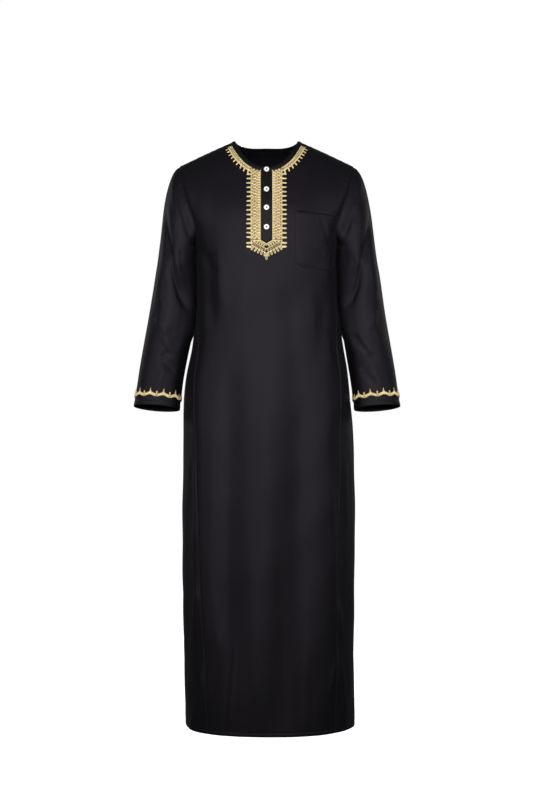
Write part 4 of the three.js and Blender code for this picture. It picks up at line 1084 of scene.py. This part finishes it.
leaf = {"aside": 1.05, "shortest": 4.6, "longest": 5.4, "width": 1.25, "height": 1.3, "unevenShade": 0.15}


def leaves(rng, x, y, turn, shade, lift, size=1):      # three threads side by side make one leaf
    rows = []
    for offset in (-leaf["aside"], 0, leaf["aside"]):
        way = turn + rng.normal(0, 0.08)
        length = rng.uniform(leaf["shortest"], leaf["longest"]) - abs(offset)
        tone = shade + rng.normal(0, leaf["unevenShade"]) - 0.15 * abs(offset)
        rows.append((x - offset * size * math.sin(turn), y + offset * size * math.cos(turn), way,
                     length * size, leaf["width"] * size, leaf["height"], np.clip(tone, 0, 1.3), lift))
    return rows


def holeShadeStitch(x, y, lift, size=1.7):      # a dark stitch laid where a hole between the stitches is: the black cloth seen in it, with painted shade
    return [(x, y, 0.4, size, size * 0.85, 1.1, -0.45, lift + 0.55)]


def borderRows(side, rng, lift):      # close stitches with a row of holes in them, each hole a dark stitch: the black cloth in it, with painted shade
    x, z = strip["inner"] + strip["borderIn"], bindingLevel(strip["inner"]) - 3
    rows = []
    while z > strip["bottom"] + 1:
        rows.append((side * x, z, 0.1 * side, strip["borderWidth"], 1.3, 1.2, 0.82 + rng.normal(0, 0.14),
                     lift - 0.15))
        z -= strip["borderPitch"]
    for z in np.arange(bindingLevel(x) - 5, strip["bottom"] + 2, -strip["holePitch"]):
        rows += holeShadeStitch(side * x, z, lift - 0.1, 2.9)
    return rows


def leafColumn(side, rng, column, x, across, lift):      # leaves that lean one way, then the other
    rows, step = [], 0
    z = bindingLevel(x) - 3.4 - 1.8 * (column % 2)
    gapX = x + across / 2 * (column < strip["columns"] - 1)
    while z > strip["bottom"] + 1.8:
        turn = side * (-1) ** column * (0.8 + rng.normal(0, 0.09))
        rows += leaves(rng, side * x, z, turn, 0.84 + 0.27 * (-1) ** (step + column), lift)
        # between the leaves, dark stitches paint the holes: the black cloth in them, with painted shade
        if rng.random() < 0.75:
            rows += holeShadeStitch(side * gapX, z - strip["leafPitch"] / 2, lift, rng.uniform(2, 3.1))
        z -= strip["leafPitch"]
        step += 1
    return rows


def stripRows(side, rng):
    inner, outer, lift = strip["inner"], strip["outer"], goldRaise["thread"]
    rows = []
    for x, size, shade, twist in ((inner + 1, (2.5, 1.25, 1.5), 0.72, side * 0.6),
                                  (outer - 1, (2.5, 1.3, 1.6), 0.78, -side * 0.6)):
        line = [(side * x, z) for z in np.linspace(bindingLevel(x) - 1.4, strip["bottom"] + 0.6, 60)]
        rows += cordRows(line, strip["cordPitch"], size, shade, lift, twist)
    rows += borderRows(side, rng, lift)
    low, high = inner + strip["leavesIn"], outer - 2
    across = (high - low) / strip["columns"]
    for column in range(strip["columns"]):
        rows += leafColumn(side, rng, column, low + across * (column + 0.5), across, lift)
    for tooth in range(strip["teeth"]):
        z = strip["bottom"] + (strip["teeth"] - tooth - 0.5) * strip["pitch"] + rng.normal(0, 0.25)
        way = (0 if side > 0 else math.pi) + rng.normal(0, 0.05)
        rows += satinTooth(side * outer, z, way, strip["toothLength"] + rng.normal(0, 0.3),
                           strip["toothWidth"], 0.74, lift - 0.35)
    return rows


def stripPiece(name, side, ground, thread):
    share = np.linspace(0, 1, 9)[None]
    x = mix(strip["inner"], strip["outer"], share)
    z = mix(bindingLevel(x) - 1, strip["bottom"] + 0 * x, np.linspace(0, 1, 61)[:, None])
    base = underlay(name, onChest, side * x + 0 * z, z)
    return embroidered(base, onChest, stripRows(side, np.random.default_rng(20 + side)), ground, thread)


point = {"top": -243.4, "outerLevel": -257, "tip": -277, "innerTip": -251.2, "halfWidth": 36.8, "fingers": 5,
         "fingerLength": 11.5, "fingerWidth": 4.5, "eyelets": 7, "loops": 5, "leaves": 9, "outline": 31}


def pointLine(share, out):      # share runs down from the strip's end to the tip; out runs 0 to 1
    fall, down = min(1, share / 0.33), max(0, (share - 0.33) / 0.67)
    innerX = mix(mix(28, 13.2, fall), 0.2, down)
    innerZ = mix(point["top"], point["innerTip"], down)
    outerX = mix(point["halfWidth"], 0.2, down)
    outerZ = mix(mix(point["top"], point["outerLevel"], fall), point["tip"], down)
    return mix(innerX, outerX, out), mix(innerZ, outerZ, out)


def loopRows(x, z, way, length, width, shade, lift):      # a finger: a loop of cord with a slit in it
    turn = np.linspace(0.3, 2 * math.pi - 0.3, 24)
    half, length = width / 2 - 0.75, length - 1
    out = length * (1 - np.cos(turn)) / 2
    aside = half * np.sign(np.sin(turn)) * np.abs(np.sin(turn)) ** 0.6 * (0.8 + 0.25 * out / length)
    path = np.stack([x + out * math.cos(way) - aside * math.sin(way),
                     z + out * math.sin(way) + aside * math.cos(way)], -1)
    return cordRows(path, 1.1, (2, 1.6, 1.4), shade, lift, 0.7)


def pointRows(rng):
    lift, rows = goldRaise["thread"], []
    shares = np.linspace(0, 1, 40)
    for side in (-1, 1):
        outwards = 0 if side > 0 else math.pi
        for out, width, shade in ((0.05, 1.7, 0.86), (0.16, 1.2, 0.7), (0.5, 1.4, 0.86), (0.9, 1.4, 0.8)):
            path = [(side * x, z) for x, z in (pointLine(share, out) for share in shares)]
            rows += cordRows(path, 1.2, (2.4, width, width), shade, lift, side * 0.6)
        for i in range(point["eyelets"]):      # a row of eyelets follows the point
            x, z = pointLine((i + 1.1) / (point["eyelets"] + 0.8), 0.68)
            rows += eyelet(side * x, z, 1.9, 0.74 + rng.normal(0, 0.06), lift, 9)
        for i in range(point["loops"]):      # slanted loops above them
            x, z = pointLine(0.12 + 0.17 * i, 0.2)
            rows += loopRows(side * x, z, -math.pi / 2 + side * (0.75 - 0.13 * i), 5.6, 3.4, 0.72, lift)
        for i in range(point["leaves"]):
            x, z = pointLine((i + 0.4) / (point["leaves"] + 0.4), 0.86)
            rows += leaves(rng, side * x, z, side * (0.9 if i % 2 else -0.4), 0.78, lift - 0.1, 0.75)
        for x, z, lean, length, width, shade, tip in (
                (point["halfWidth"], -249.8, -0.05, 10, 4.8, 0.78, 0.72),
                (35.5, -259.2, 0.06, 11, 5.6, 0.8, 0.6)):
            rows += satinTooth(side * x, z, outwards + side * lean, length, width, shade, lift - 0.3, tip)
        for i in range(point["fingers"]):
            share = (i + 0.45) / point["fingers"]
            x, z = pointLine(0.36 + 0.64 * share, 0.86)
            way = -math.pi / 2 + side * 0.72 * (1 - share) ** 0.8
            rows += loopRows(side * x, z, way, point["fingerLength"] - 1.5 * share, point["fingerWidth"], 0.8,
                             lift - 0.3)
    rows += loopRows(0, point["tip"], -math.pi / 2, 12, 4.9, 0.84, lift - 0.3)
    return rows


def pointPiece(name, ground, thread):
    count = point["outline"]
    shares = np.concatenate([np.linspace(0, 1, count), np.linspace(1, 0, count)[1:]])
    sides = np.array([-1] * count + [1] * (count - 1))
    outs = np.linspace(0, 1, 9)
    grid = np.array([[pointLine(share, out) for share in shares] for out in outs])
    base = underlay(name, onChest, grid[..., 0] * sides[None], grid[..., 1])
    return embroidered(base, onChest, pointRows(np.random.default_rng(31)), ground, thread)


neckBand = {"width": 11, "startTurn": 69, "toothLength": 7.3, "toothWidth": 4.2, "teeth": 9, "gap": 0.6,
            "cordPitch": 1.3, "cordShare": 0.52, "leafPitch": 3.6}
bandStartTurn = math.radians(neckBand["startTurn"])
bandOuts = np.linspace(-1, 24, 26)      # where the band meets the strip, for each distance out
bandEndTurns = np.array([
    np.interp(strip["outer"] + 0.4, fromNeck(frontTurns, neck["binding"] + neckBand["gap"] + out)[0],
              frontTurns)
    for out in bandOuts])
bandTurns = np.linspace(bandStartTurn, np.interp(0, bandOuts, bandEndTurns), 60)
bandPath = onBody(*fromNeck(bandTurns, neck["binding"] + neckBand["width"] / 2))[0]
bandRun = runLength(bandPath[None], 1)[0]


def neckPlace(side):      # the band's own plan: along it, and out from the binding, in millimetres
    def place(along, out, lift):
        out = np.asarray(out, float)
        ends = np.interp(out, bandOuts, bandEndTurns)
        stretch = (ends - bandStartTurn) / (bandTurns[-1] - bandStartTurn)
        turn = bandStartTurn + (np.interp(along, bandRun, bandTurns) - bandStartTurn) * stretch
        x, down = fromNeck(turn, neck["binding"] + neckBand["gap"] + out)
        return onBody(side * x, down, lift)
    return place


def neckBandRows(side, rng):
    lift, length, rows = goldRaise["thread"], bandRun[-1], []
    for out, shade in ((1, 0.76), (2.9, 0.24), (4.7, 0.76), (6.5, 0.24), (8.3, 0.7), (10.1, 0.82)):
        end = length if out in (1, 10.1) else length * neckBand["cordShare"]
        rows += cordRows([(a, out) for a in np.linspace(0, end, 30)], neckBand["cordPitch"], (2.5, 1.45, 1.4),
                         shade, lift, 0.5 * side)
    for column, out in enumerate((3.4, 7.6)):      # further on the cords turn into leaves
        along, step = length * 0.53 + column * 1.8, 0
        while along < length - 0.6:
            rows += leaves(rng, along, out, (-1) ** column * 0.8, 0.76 + 0.18 * (-1) ** step, lift - 0.05)
            # a dark stitch between the leaves paints a hole: the black cloth in it, with painted shade
            rows += holeShadeStitch(along + neckBand["leafPitch"] / 2, neckBand["width"] / 2, lift)
            along, step = along + neckBand["leafPitch"], step + 1
    for tooth in range(neckBand["teeth"]):
        along = length * (tooth + 0.5) / neckBand["teeth"]
        last = tooth == neckBand["teeth"] - 1
        rows += satinTooth(along - 0.6 * last, neckBand["width"] - 0.3, math.pi / 2 + rng.normal(0, 0.06),
                           neckBand["toothLength"] + 0.8 * last, neckBand["toothWidth"], 0.76, lift - 0.35)
    return rows


def neckBandPiece(name, side, ground, thread):
    along = np.linspace(0, bandRun[-1], 41)[None]
    out = np.linspace(0.2, neckBand["width"], 7)[:, None]
    base = underlay(name, neckPlace(side), along + 0 * out, out + 0 * along)
    rows = neckBandRows(side, np.random.default_rng(41 + side))
    return embroidered(base, neckPlace(side), rows, ground, thread)


cuffBraid = {"aboveEdge": 26, "band": 6, "waves": 11, "swing": 2.2, "spire": 10.5, "peg": 8, "around": 311.0,
             "pitch": 1.12, "spireStitches": 9, "pegStitches": 7}


def cuffPlace(side):      # the cuff's own plan: round it, and up from its edge, in millimetres
    def place(around, above, lift):
        turn = np.asarray(around, float) / cuffBraid["around"] * 2 * math.pi
        at = lambda up, t: lowerSleevePoint(side, sleeve["cuffLevel"] + np.asarray(above, float) + up, t)
        along, across = at(-1, turn) - at(1, turn), at(0, turn + 0.02) - at(0, turn - 0.02)
        normal = unit(np.cross(across, along)) * side
        point = at(0, turn)
        waves = (1 - sleeve["calm"]) * slowWaves(point + sleeve["waveShift"])
        return point + normal * (waves + lift)[..., None], normal
    return place


def braidMiddle(around):
    share = around / cuffBraid["around"] * cuffBraid["waves"]
    return cuffBraid["aboveEdge"] + cuffBraid["swing"] * np.sin(2 * math.pi * share)


def spireRows(rng, x, foot, lift):      # wide at its foot, with a dark stitch beside it
    rows, last = [], cuffBraid["spireStitches"] - 1
    for i in range(last + 1):
        wide = 1.3 + 7.6 * (1 - i / last) ** 2.2
        rows.append((x, foot + (cuffBraid["spire"] - 0.6) * i / last, 0.14 * (-1) ** i, wide, 1.55, 1.3,
                     0.76 + rng.normal(0, 0.05), lift - 0.4))
    rows.append((x - 1, foot + 1.6, 0.9, 2.6, 0.9, 0.9, 0.12, lift + 0.15))
    return rows


def pegRows(rng, x, foot, lift):      # blunt, and a little wider at its head
    rows, last = [], cuffBraid["pegStitches"] - 1
    for i in range(last + 1):
        wide = 3.6 + 1.1 * (i / last) ** 2 - 1.3 * (i == last)
        rows.append((x, foot + (cuffBraid["peg"] - 0.8) * i / last, 0.14 * (-1) ** i, wide, 1.5, 1.3,
                     0.74 + rng.normal(0, 0.05), lift - 0.4))
    return rows


def cuffRows(rng):
    lift, rows = goldRaise["thread"], []
    around, waves, half = cuffBraid["around"], cuffBraid["waves"], cuffBraid["band"] / 2
    for i in range(int(around / cuffBraid["pitch"])):      # satin stitches across the wave
        at = i * cuffBraid["pitch"]
        share = at / around * waves % 1
        trough = math.exp(-((share - 0.75) / 0.07) ** 2)
        rows.append((at, braidMiddle(at), math.pi / 2 - 0.35 + rng.normal(0, 0.05), 2 * half + 0.5, 1.5, 1.5,
                     0.74 - 0.45 * trough + rng.normal(0, 0.06), lift - 0.1))
    edges = np.linspace(0, around, 400)
    for off, shade in ((-half, 0.7), (half, 0.8)):
        path = np.stack([edges, braidMiddle(edges) + off], -1)
        rows += cordRows(path, 1.5, (2.3, 0.9, 1.1), shade, lift, 0.4)
    for wave in range(waves):      # a spire on each crest and a peg in each hollow
        for share, shape in ((0.25, spireRows), (0.75, pegRows)):
            x = (wave + share) * around / waves
            rows += shape(rng, x, braidMiddle(x) + half - 0.4, lift)
    return rows


def cuffPiece(name, side, ground, thread):
    around = np.linspace(0, cuffBraid["around"], 201)[:-1]
    above = np.linspace(-cuffBraid["band"] / 2, cuffBraid["band"] / 2, 4)
    columns, rows = np.meshgrid(around, above)
    points, normals = cuffPlace(side)(columns, braidMiddle(columns) + rows, goldRaise["underlay"] - 0.2)
    base = shell(name, points, normals, goldRaise["groundThickness"] - 0.1, ring=True)
    rows = cuffRows(np.random.default_rng(51 + side))
    return embroidered(base, cuffPlace(side), rows, ground, thread, 6, 4)


threadGold = goldThread("goldThread")
threadGround = goldGround("goldGround", (0.012, 0.006, 0.004), (0.1, 0.05, 0.018))
openGround = goldGround("openGround", (0.002, 0.0018, 0.0026), (0.008, 0.006, 0.006))
goldPieces = {
    "strip_embroidery_right": stripPiece("goldStripRight", -1, threadGround, threadGold),
    "strip_embroidery_left": stripPiece("goldStripLeft", 1, threadGround, threadGold),
    "point_embroidery": pointPiece("goldPoint", openGround, threadGold),
    "neck_embroidery_right": neckBandPiece("goldNeckRight", -1, threadGround, threadGold),
    "neck_embroidery_left": neckBandPiece("goldNeckLeft", 1, threadGround, threadGold),
    "cuff_embroidery_right": cuffPiece("goldCuffRight", -1, threadGround, threadGold),
    "cuff_embroidery_left": cuffPiece("goldCuffLeft", 1, threadGround, threadGold)}
print("gold embroidery made:", sum(len(piece.data.polygons) for piece in goldPieces.values()), "faces")

# Finishes on the cloth, and the visible stitch lines

robeCloth = suiting("robeSuiting", (0.0019, 0.0017, 0.0024), (0.0046, 0.004, 0.0058), 0.00078, 0.55)
placketCloth = suiting("placketSuiting", (0.0018, 0.0016, 0.002), (0.0041, 0.0038, 0.0046), 0.0006, 0.4)
robeThread = darkThread("robeThread", 0.016)
clothPieces = {
    "front_panel": frontPanel, "back_panel": backPanel, "side_panel_right": rightGore,
    "side_panel_left": leftGore, "sleeve_right": rightSleeve, "sleeve_left": leftSleeve,
    "neck_binding": bindingPiece, "placket": placketBand, "chest_pocket": pocketPatch}
for node, piece in clothPieces.items():
    piece.data.materials.append(placketCloth if node in ("placket", "neck_binding") else robeCloth)
stitching = {"pitch": 3.1, "length": 2.3, "width": 0.55, "height": 0.5, "shade": 0.5, "sides": 6, "rings": 4}


def stitchRow(path, lift=0):      # a plain row of stitches along a path
    size = (stitching["length"], stitching["width"], stitching["height"])
    return cordRows(path, stitching["pitch"], size, stitching["shade"], lift, 0)


def sewOn(piece, name, place, rows):      # the stitches become part of the piece they hold
    joined(piece, sewn(name, place, rows, robeThread, stitching["sides"], stitching["rings"]))


def aroundSkirt(start, end):      # a plan of the hem: millimetres round it from one seam to the next
    turns = np.linspace(math.radians(start), math.radians(end), 300)
    run = runLength(onBodyRound(turns, downAtLevel(turns, body["hem"] + 0 * turns))[0][None], 1)[0]

    def place(around, above, lift):
        turn = np.interp(around, run, turns)
        return onBodyRound(turn, downAtLevel(turn, body["hem"] + above), lift)
    return place, run[-1]


def aroundNeck():      # a plan of the binding: round the neck, and out from its edge
    turns = np.linspace(0, 2 * math.pi, 400)
    run = runLength(onBody(*fromNeck(turns, binding["seam"] + 0 * turns))[0][None], 1)[0]
    return (lambda around, out, lift: onBody(*fromNeck(np.interp(around, run, turns), out), lift)), run[-1]


def stitchHems():
    lift = 0.5 * panel["hemRise"] - panel["hemGroove"] + 0.15
    for piece, start, end in ((frontPanel, -39.6, 44.6), (leftGore, 45.4, 134.6),
                              (backPanel, 135.4, 224.6), (rightGore, 225.4, 319.6)):
        place, length = aroundSkirt(start, end)
        path = [(around, panel["hemStitch"]) for around in np.linspace(1.5, length - 1.5, 100)]
        sewOn(piece, piece.name + "Hem", place, stitchRow(path, lift))
    for piece, side in ((rightSleeve, -1), (leftSleeve, 1)):
        path = [(around, sleeve["cuffStitch"]) for around in np.linspace(0, cuffBraid["around"], 200)]
        sewOn(piece, piece.name + "Hem", cuffPlace(side), stitchRow(path, lift))


def stitchBinding():
    place, length = aroundNeck()
    path = [(around, binding["seam"]) for around in np.linspace(0, length, 300)]
    sewOn(bindingPiece, "bindingStitches", place, stitchRow(path, 0.35))


def stitchPlacket():      # down one side, round the point and up the other
    inset = placket["margin"] + placket["stitchIn"]
    half = placket["halfWidth"] - inset
    lift = placket["lift"] + placket["raised"] - 0.15
    top, corner = bindingLevel(half) - 1, placketBottom(half) + inset
    path = [(-half, top, lift), (-half, corner, lift), (0, placket["tipLevel"] + 1.14 * inset, lift),
            (half, corner, lift), (half, top, lift)]
    sewOn(placketBand, "placketStitches", onChest, stitchRow(path))


def stitchPocket():      # its three sewn sides, then the hem below its mouth
    edge = pocket["edgeStitch"] / pocket["width"]
    low = 1 - pocket["edgeStitch"] / pocket["height"]
    down, across = np.linspace(0.01, low, 60), np.linspace(edge, 1 - edge, 90)
    runs = ((edge + 0 * down, down), (across, low + 0 * across), (1 - edge + 0 * down, down[::-1]),
            (np.linspace(0.03, 0.97, 60), pocket["hemBand"] / pocket["height"] + 0 * down))
    rows = sum((stitchRow(np.stack(pocketHeight(*run), -1), 0.2) for run in runs), [])
    sewOn(pocketPatch, "pocketStitches", onChest, rows)


stitchHems()
stitchBinding()
stitchPlacket()
stitchPocket()
print("finishes and stitch lines set")

# Buttons

button = {"holeRadius": 0.85, "holeSpread": 1.75, "seat": 2.35, "threadWidth": 0.46, "threadHeight": 0.75,
          "threadGap": 0.84, "levels": (-76.8, -125, -168, -213), "turns": (0.2, 0.9, -0.3, 0.5)}
buttonSection = table(      # from the middle of its back, over the rim, to the middle of its dish
    "r h",
    (4.6, 0), (5.7, 0.25), (6.15, 0.9), (6.2, 1.4), (6.05, 2), (5.6, 2.45), (5.1, 2.6),
    (4.6, 2.5), (4.2, 2.15), (3.9, 1.92), (3.2, 1.84), (2, 1.82))


def buttonDisc(name):      # the section turned round, and closed at its two middles
    shape = bmesh.new()
    around = np.linspace(0, 2 * math.pi, 48, endpoint=False)
    rings = [[shape.verts.new((r * math.cos(t), r * math.sin(t), h)) for t in around]
             for r, h in zip(*buttonSection.values())]
    for low, high in zip(rings, rings[1:]):
        for i in range(len(around)):
            j = (i + 1) % len(around)
            shape.faces.new((low[i], low[j], high[j], high[i]))
    for ring, h, order in ((rings[0], 0, 1), (rings[-1], buttonSection["h"][-1], -1)):
        centre = shape.verts.new((0, 0, h))
        for i in range(len(around)):
            pair = (ring[(i + 1) % len(around)], ring[i])[::order]
            shape.faces.new((*pair, centre))
    bmesh.ops.recalc_face_normals(shape, faces=shape.faces)
    mesh = bpy.data.meshes.new(name)
    shape.to_mesh(mesh)
    shape.free()
    return addObject(name, mesh)


def drillHoles(disc, holes):
    for x, y in holes:
        bpy.ops.mesh.primitive_cylinder_add(vertices=16, radius=button["holeRadius"], depth=8,
                                            location=(x, y, 1))
        drill = bpy.context.active_object
        cut = disc.modifiers.new("hole", "BOOLEAN")
        cut.operation, cut.object, cut.solver = "DIFFERENCE", drill, "EXACT"
        bpy.context.view_layer.objects.active = disc
        bpy.ops.object.modifier_apply(modifier=cut.name)
        bpy.data.objects.remove(drill)


def crossThreads(holes, finish):      # two runs of dark thread cross between the holes, each of two strands
    strands = []
    size = Matrix.Diagonal((button["holeSpread"] + 0.5, button["threadWidth"], button["threadHeight"], 1))
    for start, end, level in ((0, 2, 1.97), (1, 3, 1.83)):
        way = math.atan2(holes[end][1] - holes[start][1], holes[end][0] - holes[start][0])
        for aside in (-button["threadGap"] / 2, button["threadGap"] / 2):
            bpy.ops.mesh.primitive_uv_sphere_add(segments=10, ring_count=8, radius=1)
            strand = bpy.context.active_object
            spot = Matrix.Translation((-aside * math.sin(way), aside * math.cos(way), level))
            strand.data.transform(spot @ Matrix.Rotation(way, 4, "Z") @ size)
            strand.data.materials.append(finish)
            strand.data.shade_smooth()
            strands.append(strand)
    return strands


def buttonPiece(name, level, turn, finish, threadFinish):
    disc = buttonDisc(name)
    holes = [(button["holeSpread"] * math.cos(t), button["holeSpread"] * math.sin(t))
             for t in np.arange(4) * math.pi / 2 + math.pi / 4]
    drillHoles(disc, holes)
    disc.data.materials.clear()
    disc.data.materials.append(finish)
    strands = crossThreads(holes, threadFinish)
    disc.data.shade_smooth()
    disc.data.set_sharp_from_angle(angle=math.radians(38))
    piece = joined(disc, *strands)
    seat, normal = onChest(np.array(0.0), np.array(float(level)), button["seat"])
    facing = Vector((0, 0, 1)).rotation_difference(Vector(normal)).to_matrix().to_4x4()
    piece.data.transform(Matrix.Translation(Vector(seat * mm)) @ facing @ Matrix.Rotation(turn, 4, "Z")
                         @ Matrix.Scale(mm, 4))
    return piece


buttonFinish, buttonThread = glossyButton("whiteButton"), darkThread("buttonThread", 0.035)
buttonPieces = [buttonPiece(f"shirtButton{i + 1}", level, turn, buttonFinish, buttonThread)
                for i, (level, turn) in enumerate(zip(button["levels"], button["turns"]))]
print("buttons made:", len(buttonPieces))

# What each piece stands for

for node, piece in {**clothPieces, **goldPieces}.items():
    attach(piece, "root")
    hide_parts(node)
for i, piece in enumerate(buttonPieces):
    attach(piece, "root")
    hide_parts(f"button_{i + 1}")

# Room, light and camera

room = {"floor": -1.505, "radius": 14.0}
studio = {"sky": 0.095, "key": 14, "side": 3.6, "behind": 20, "flank": 0.8, "top": 4}
shot = {"eye": (0, -4.0, -0.45), "aim": (0, 0, -0.622), "lens": 74.45, "sensor": 36}


def paleFloor():
    turns = np.linspace(0, 2 * math.pi, 64, endpoint=False)
    rim = [(room["radius"] * math.cos(t), room["radius"] * math.sin(t), room["floor"]) for t in turns]
    mesh = bpy.data.meshes.new("paleFloor")
    mesh.from_pydata(rim, [], [tuple(range(len(rim)))])
    piece = addObject("paleFloor", mesh)
    material, tree, shader = newMaterial("paleFloor", Roughness=0.9, Specular_IOR_Level=0.1,
                                         Emission_Color=(1, 1, 1, 1), Emission_Strength=0.97)
    place = addNode(tree, "ShaderNodeTexCoord").outputs
    uneven = addGroup(tree, unevenness, {"Place": place["Object"], "Patches per metre": 0.7,
                                         "Grain share": 0.05})
    tree.links.new(colourBetween(tree, uneven, (0.88, 0.88, 0.885), (0.93, 0.93, 0.93)),
                   shader.inputs["Base Color"])
    mesh.materials.append(material)
    piece.visible_diffuse = piece.visible_glossy = False      # it doesn't light the cloth


def paleSky():      # white to look at, and a low even light on the cloth
    sky = bpy.data.worlds.new("studioSky")
    sky.use_nodes = True
    tree = sky.node_tree
    seen = addNode(tree, "ShaderNodeLightPath").outputs["Is Camera Ray"]
    tree.links.new(calc(tree, "MULTIPLY_ADD", seen, 1 - studio["sky"], studio["sky"]),
                   tree.nodes["Background"].inputs["Strength"])
    tree.nodes["Background"].inputs["Color"].default_value = (1, 1, 1, 1)
    bpy.context.scene.world = sky


def aim(thing, eye, target):
    thing.location = eye
    thing.rotation_euler = (Vector(target) - Vector(eye)).to_track_quat("-Z", "Y").to_euler()


def softLight(name, eye, target, size, power, spread):
    lamp = bpy.data.lights.new(name, "AREA")
    lamp.spread = math.radians(spread)
    lamp.shape, lamp.size, lamp.size_y, lamp.energy = "RECTANGLE", *size, power
    holder = addObject(name, lamp)
    holder.visible_camera = False
    aim(holder, eye, target)


paleFloor()
paleSky()
softLight("keyLight", (-0.1, -4.3, 0.15), (0, 0, -0.4), (1.8, 0.5), studio["key"], 52)
softLight("backLight", (0, 4.4, 0.5), (0, 0, -0.45), (0.5, 0.6), studio["behind"], 55)
softLight("topLight", (0, -0.6, 2.4), (0, 0, -0.4), (2.4, 1.4), studio["top"], 180)
for side, name in ((-1, "Right"), (1, "Left")):
    softLight("sideLight" + name, (3.4 * side, -2.6, 0.2), (0, 0, -0.26), (0.9, 0.9), studio["side"], 38)
    softLight("backSide" + name, (3.3 * side, 2.9, 0.3), (0, 0, -0.45), (0.9, 0.9), studio["flank"], 48)
lens = bpy.data.cameras.new("frontCamera")
lens.lens, lens.sensor_width = shot["lens"], shot["sensor"]
camera = addObject("frontCamera", lens)
aim(camera, shot["eye"], shot["aim"])
bpy.context.scene.camera = camera
bpy.context.scene.view_settings.view_transform = "Standard"
print("room, light and camera set")
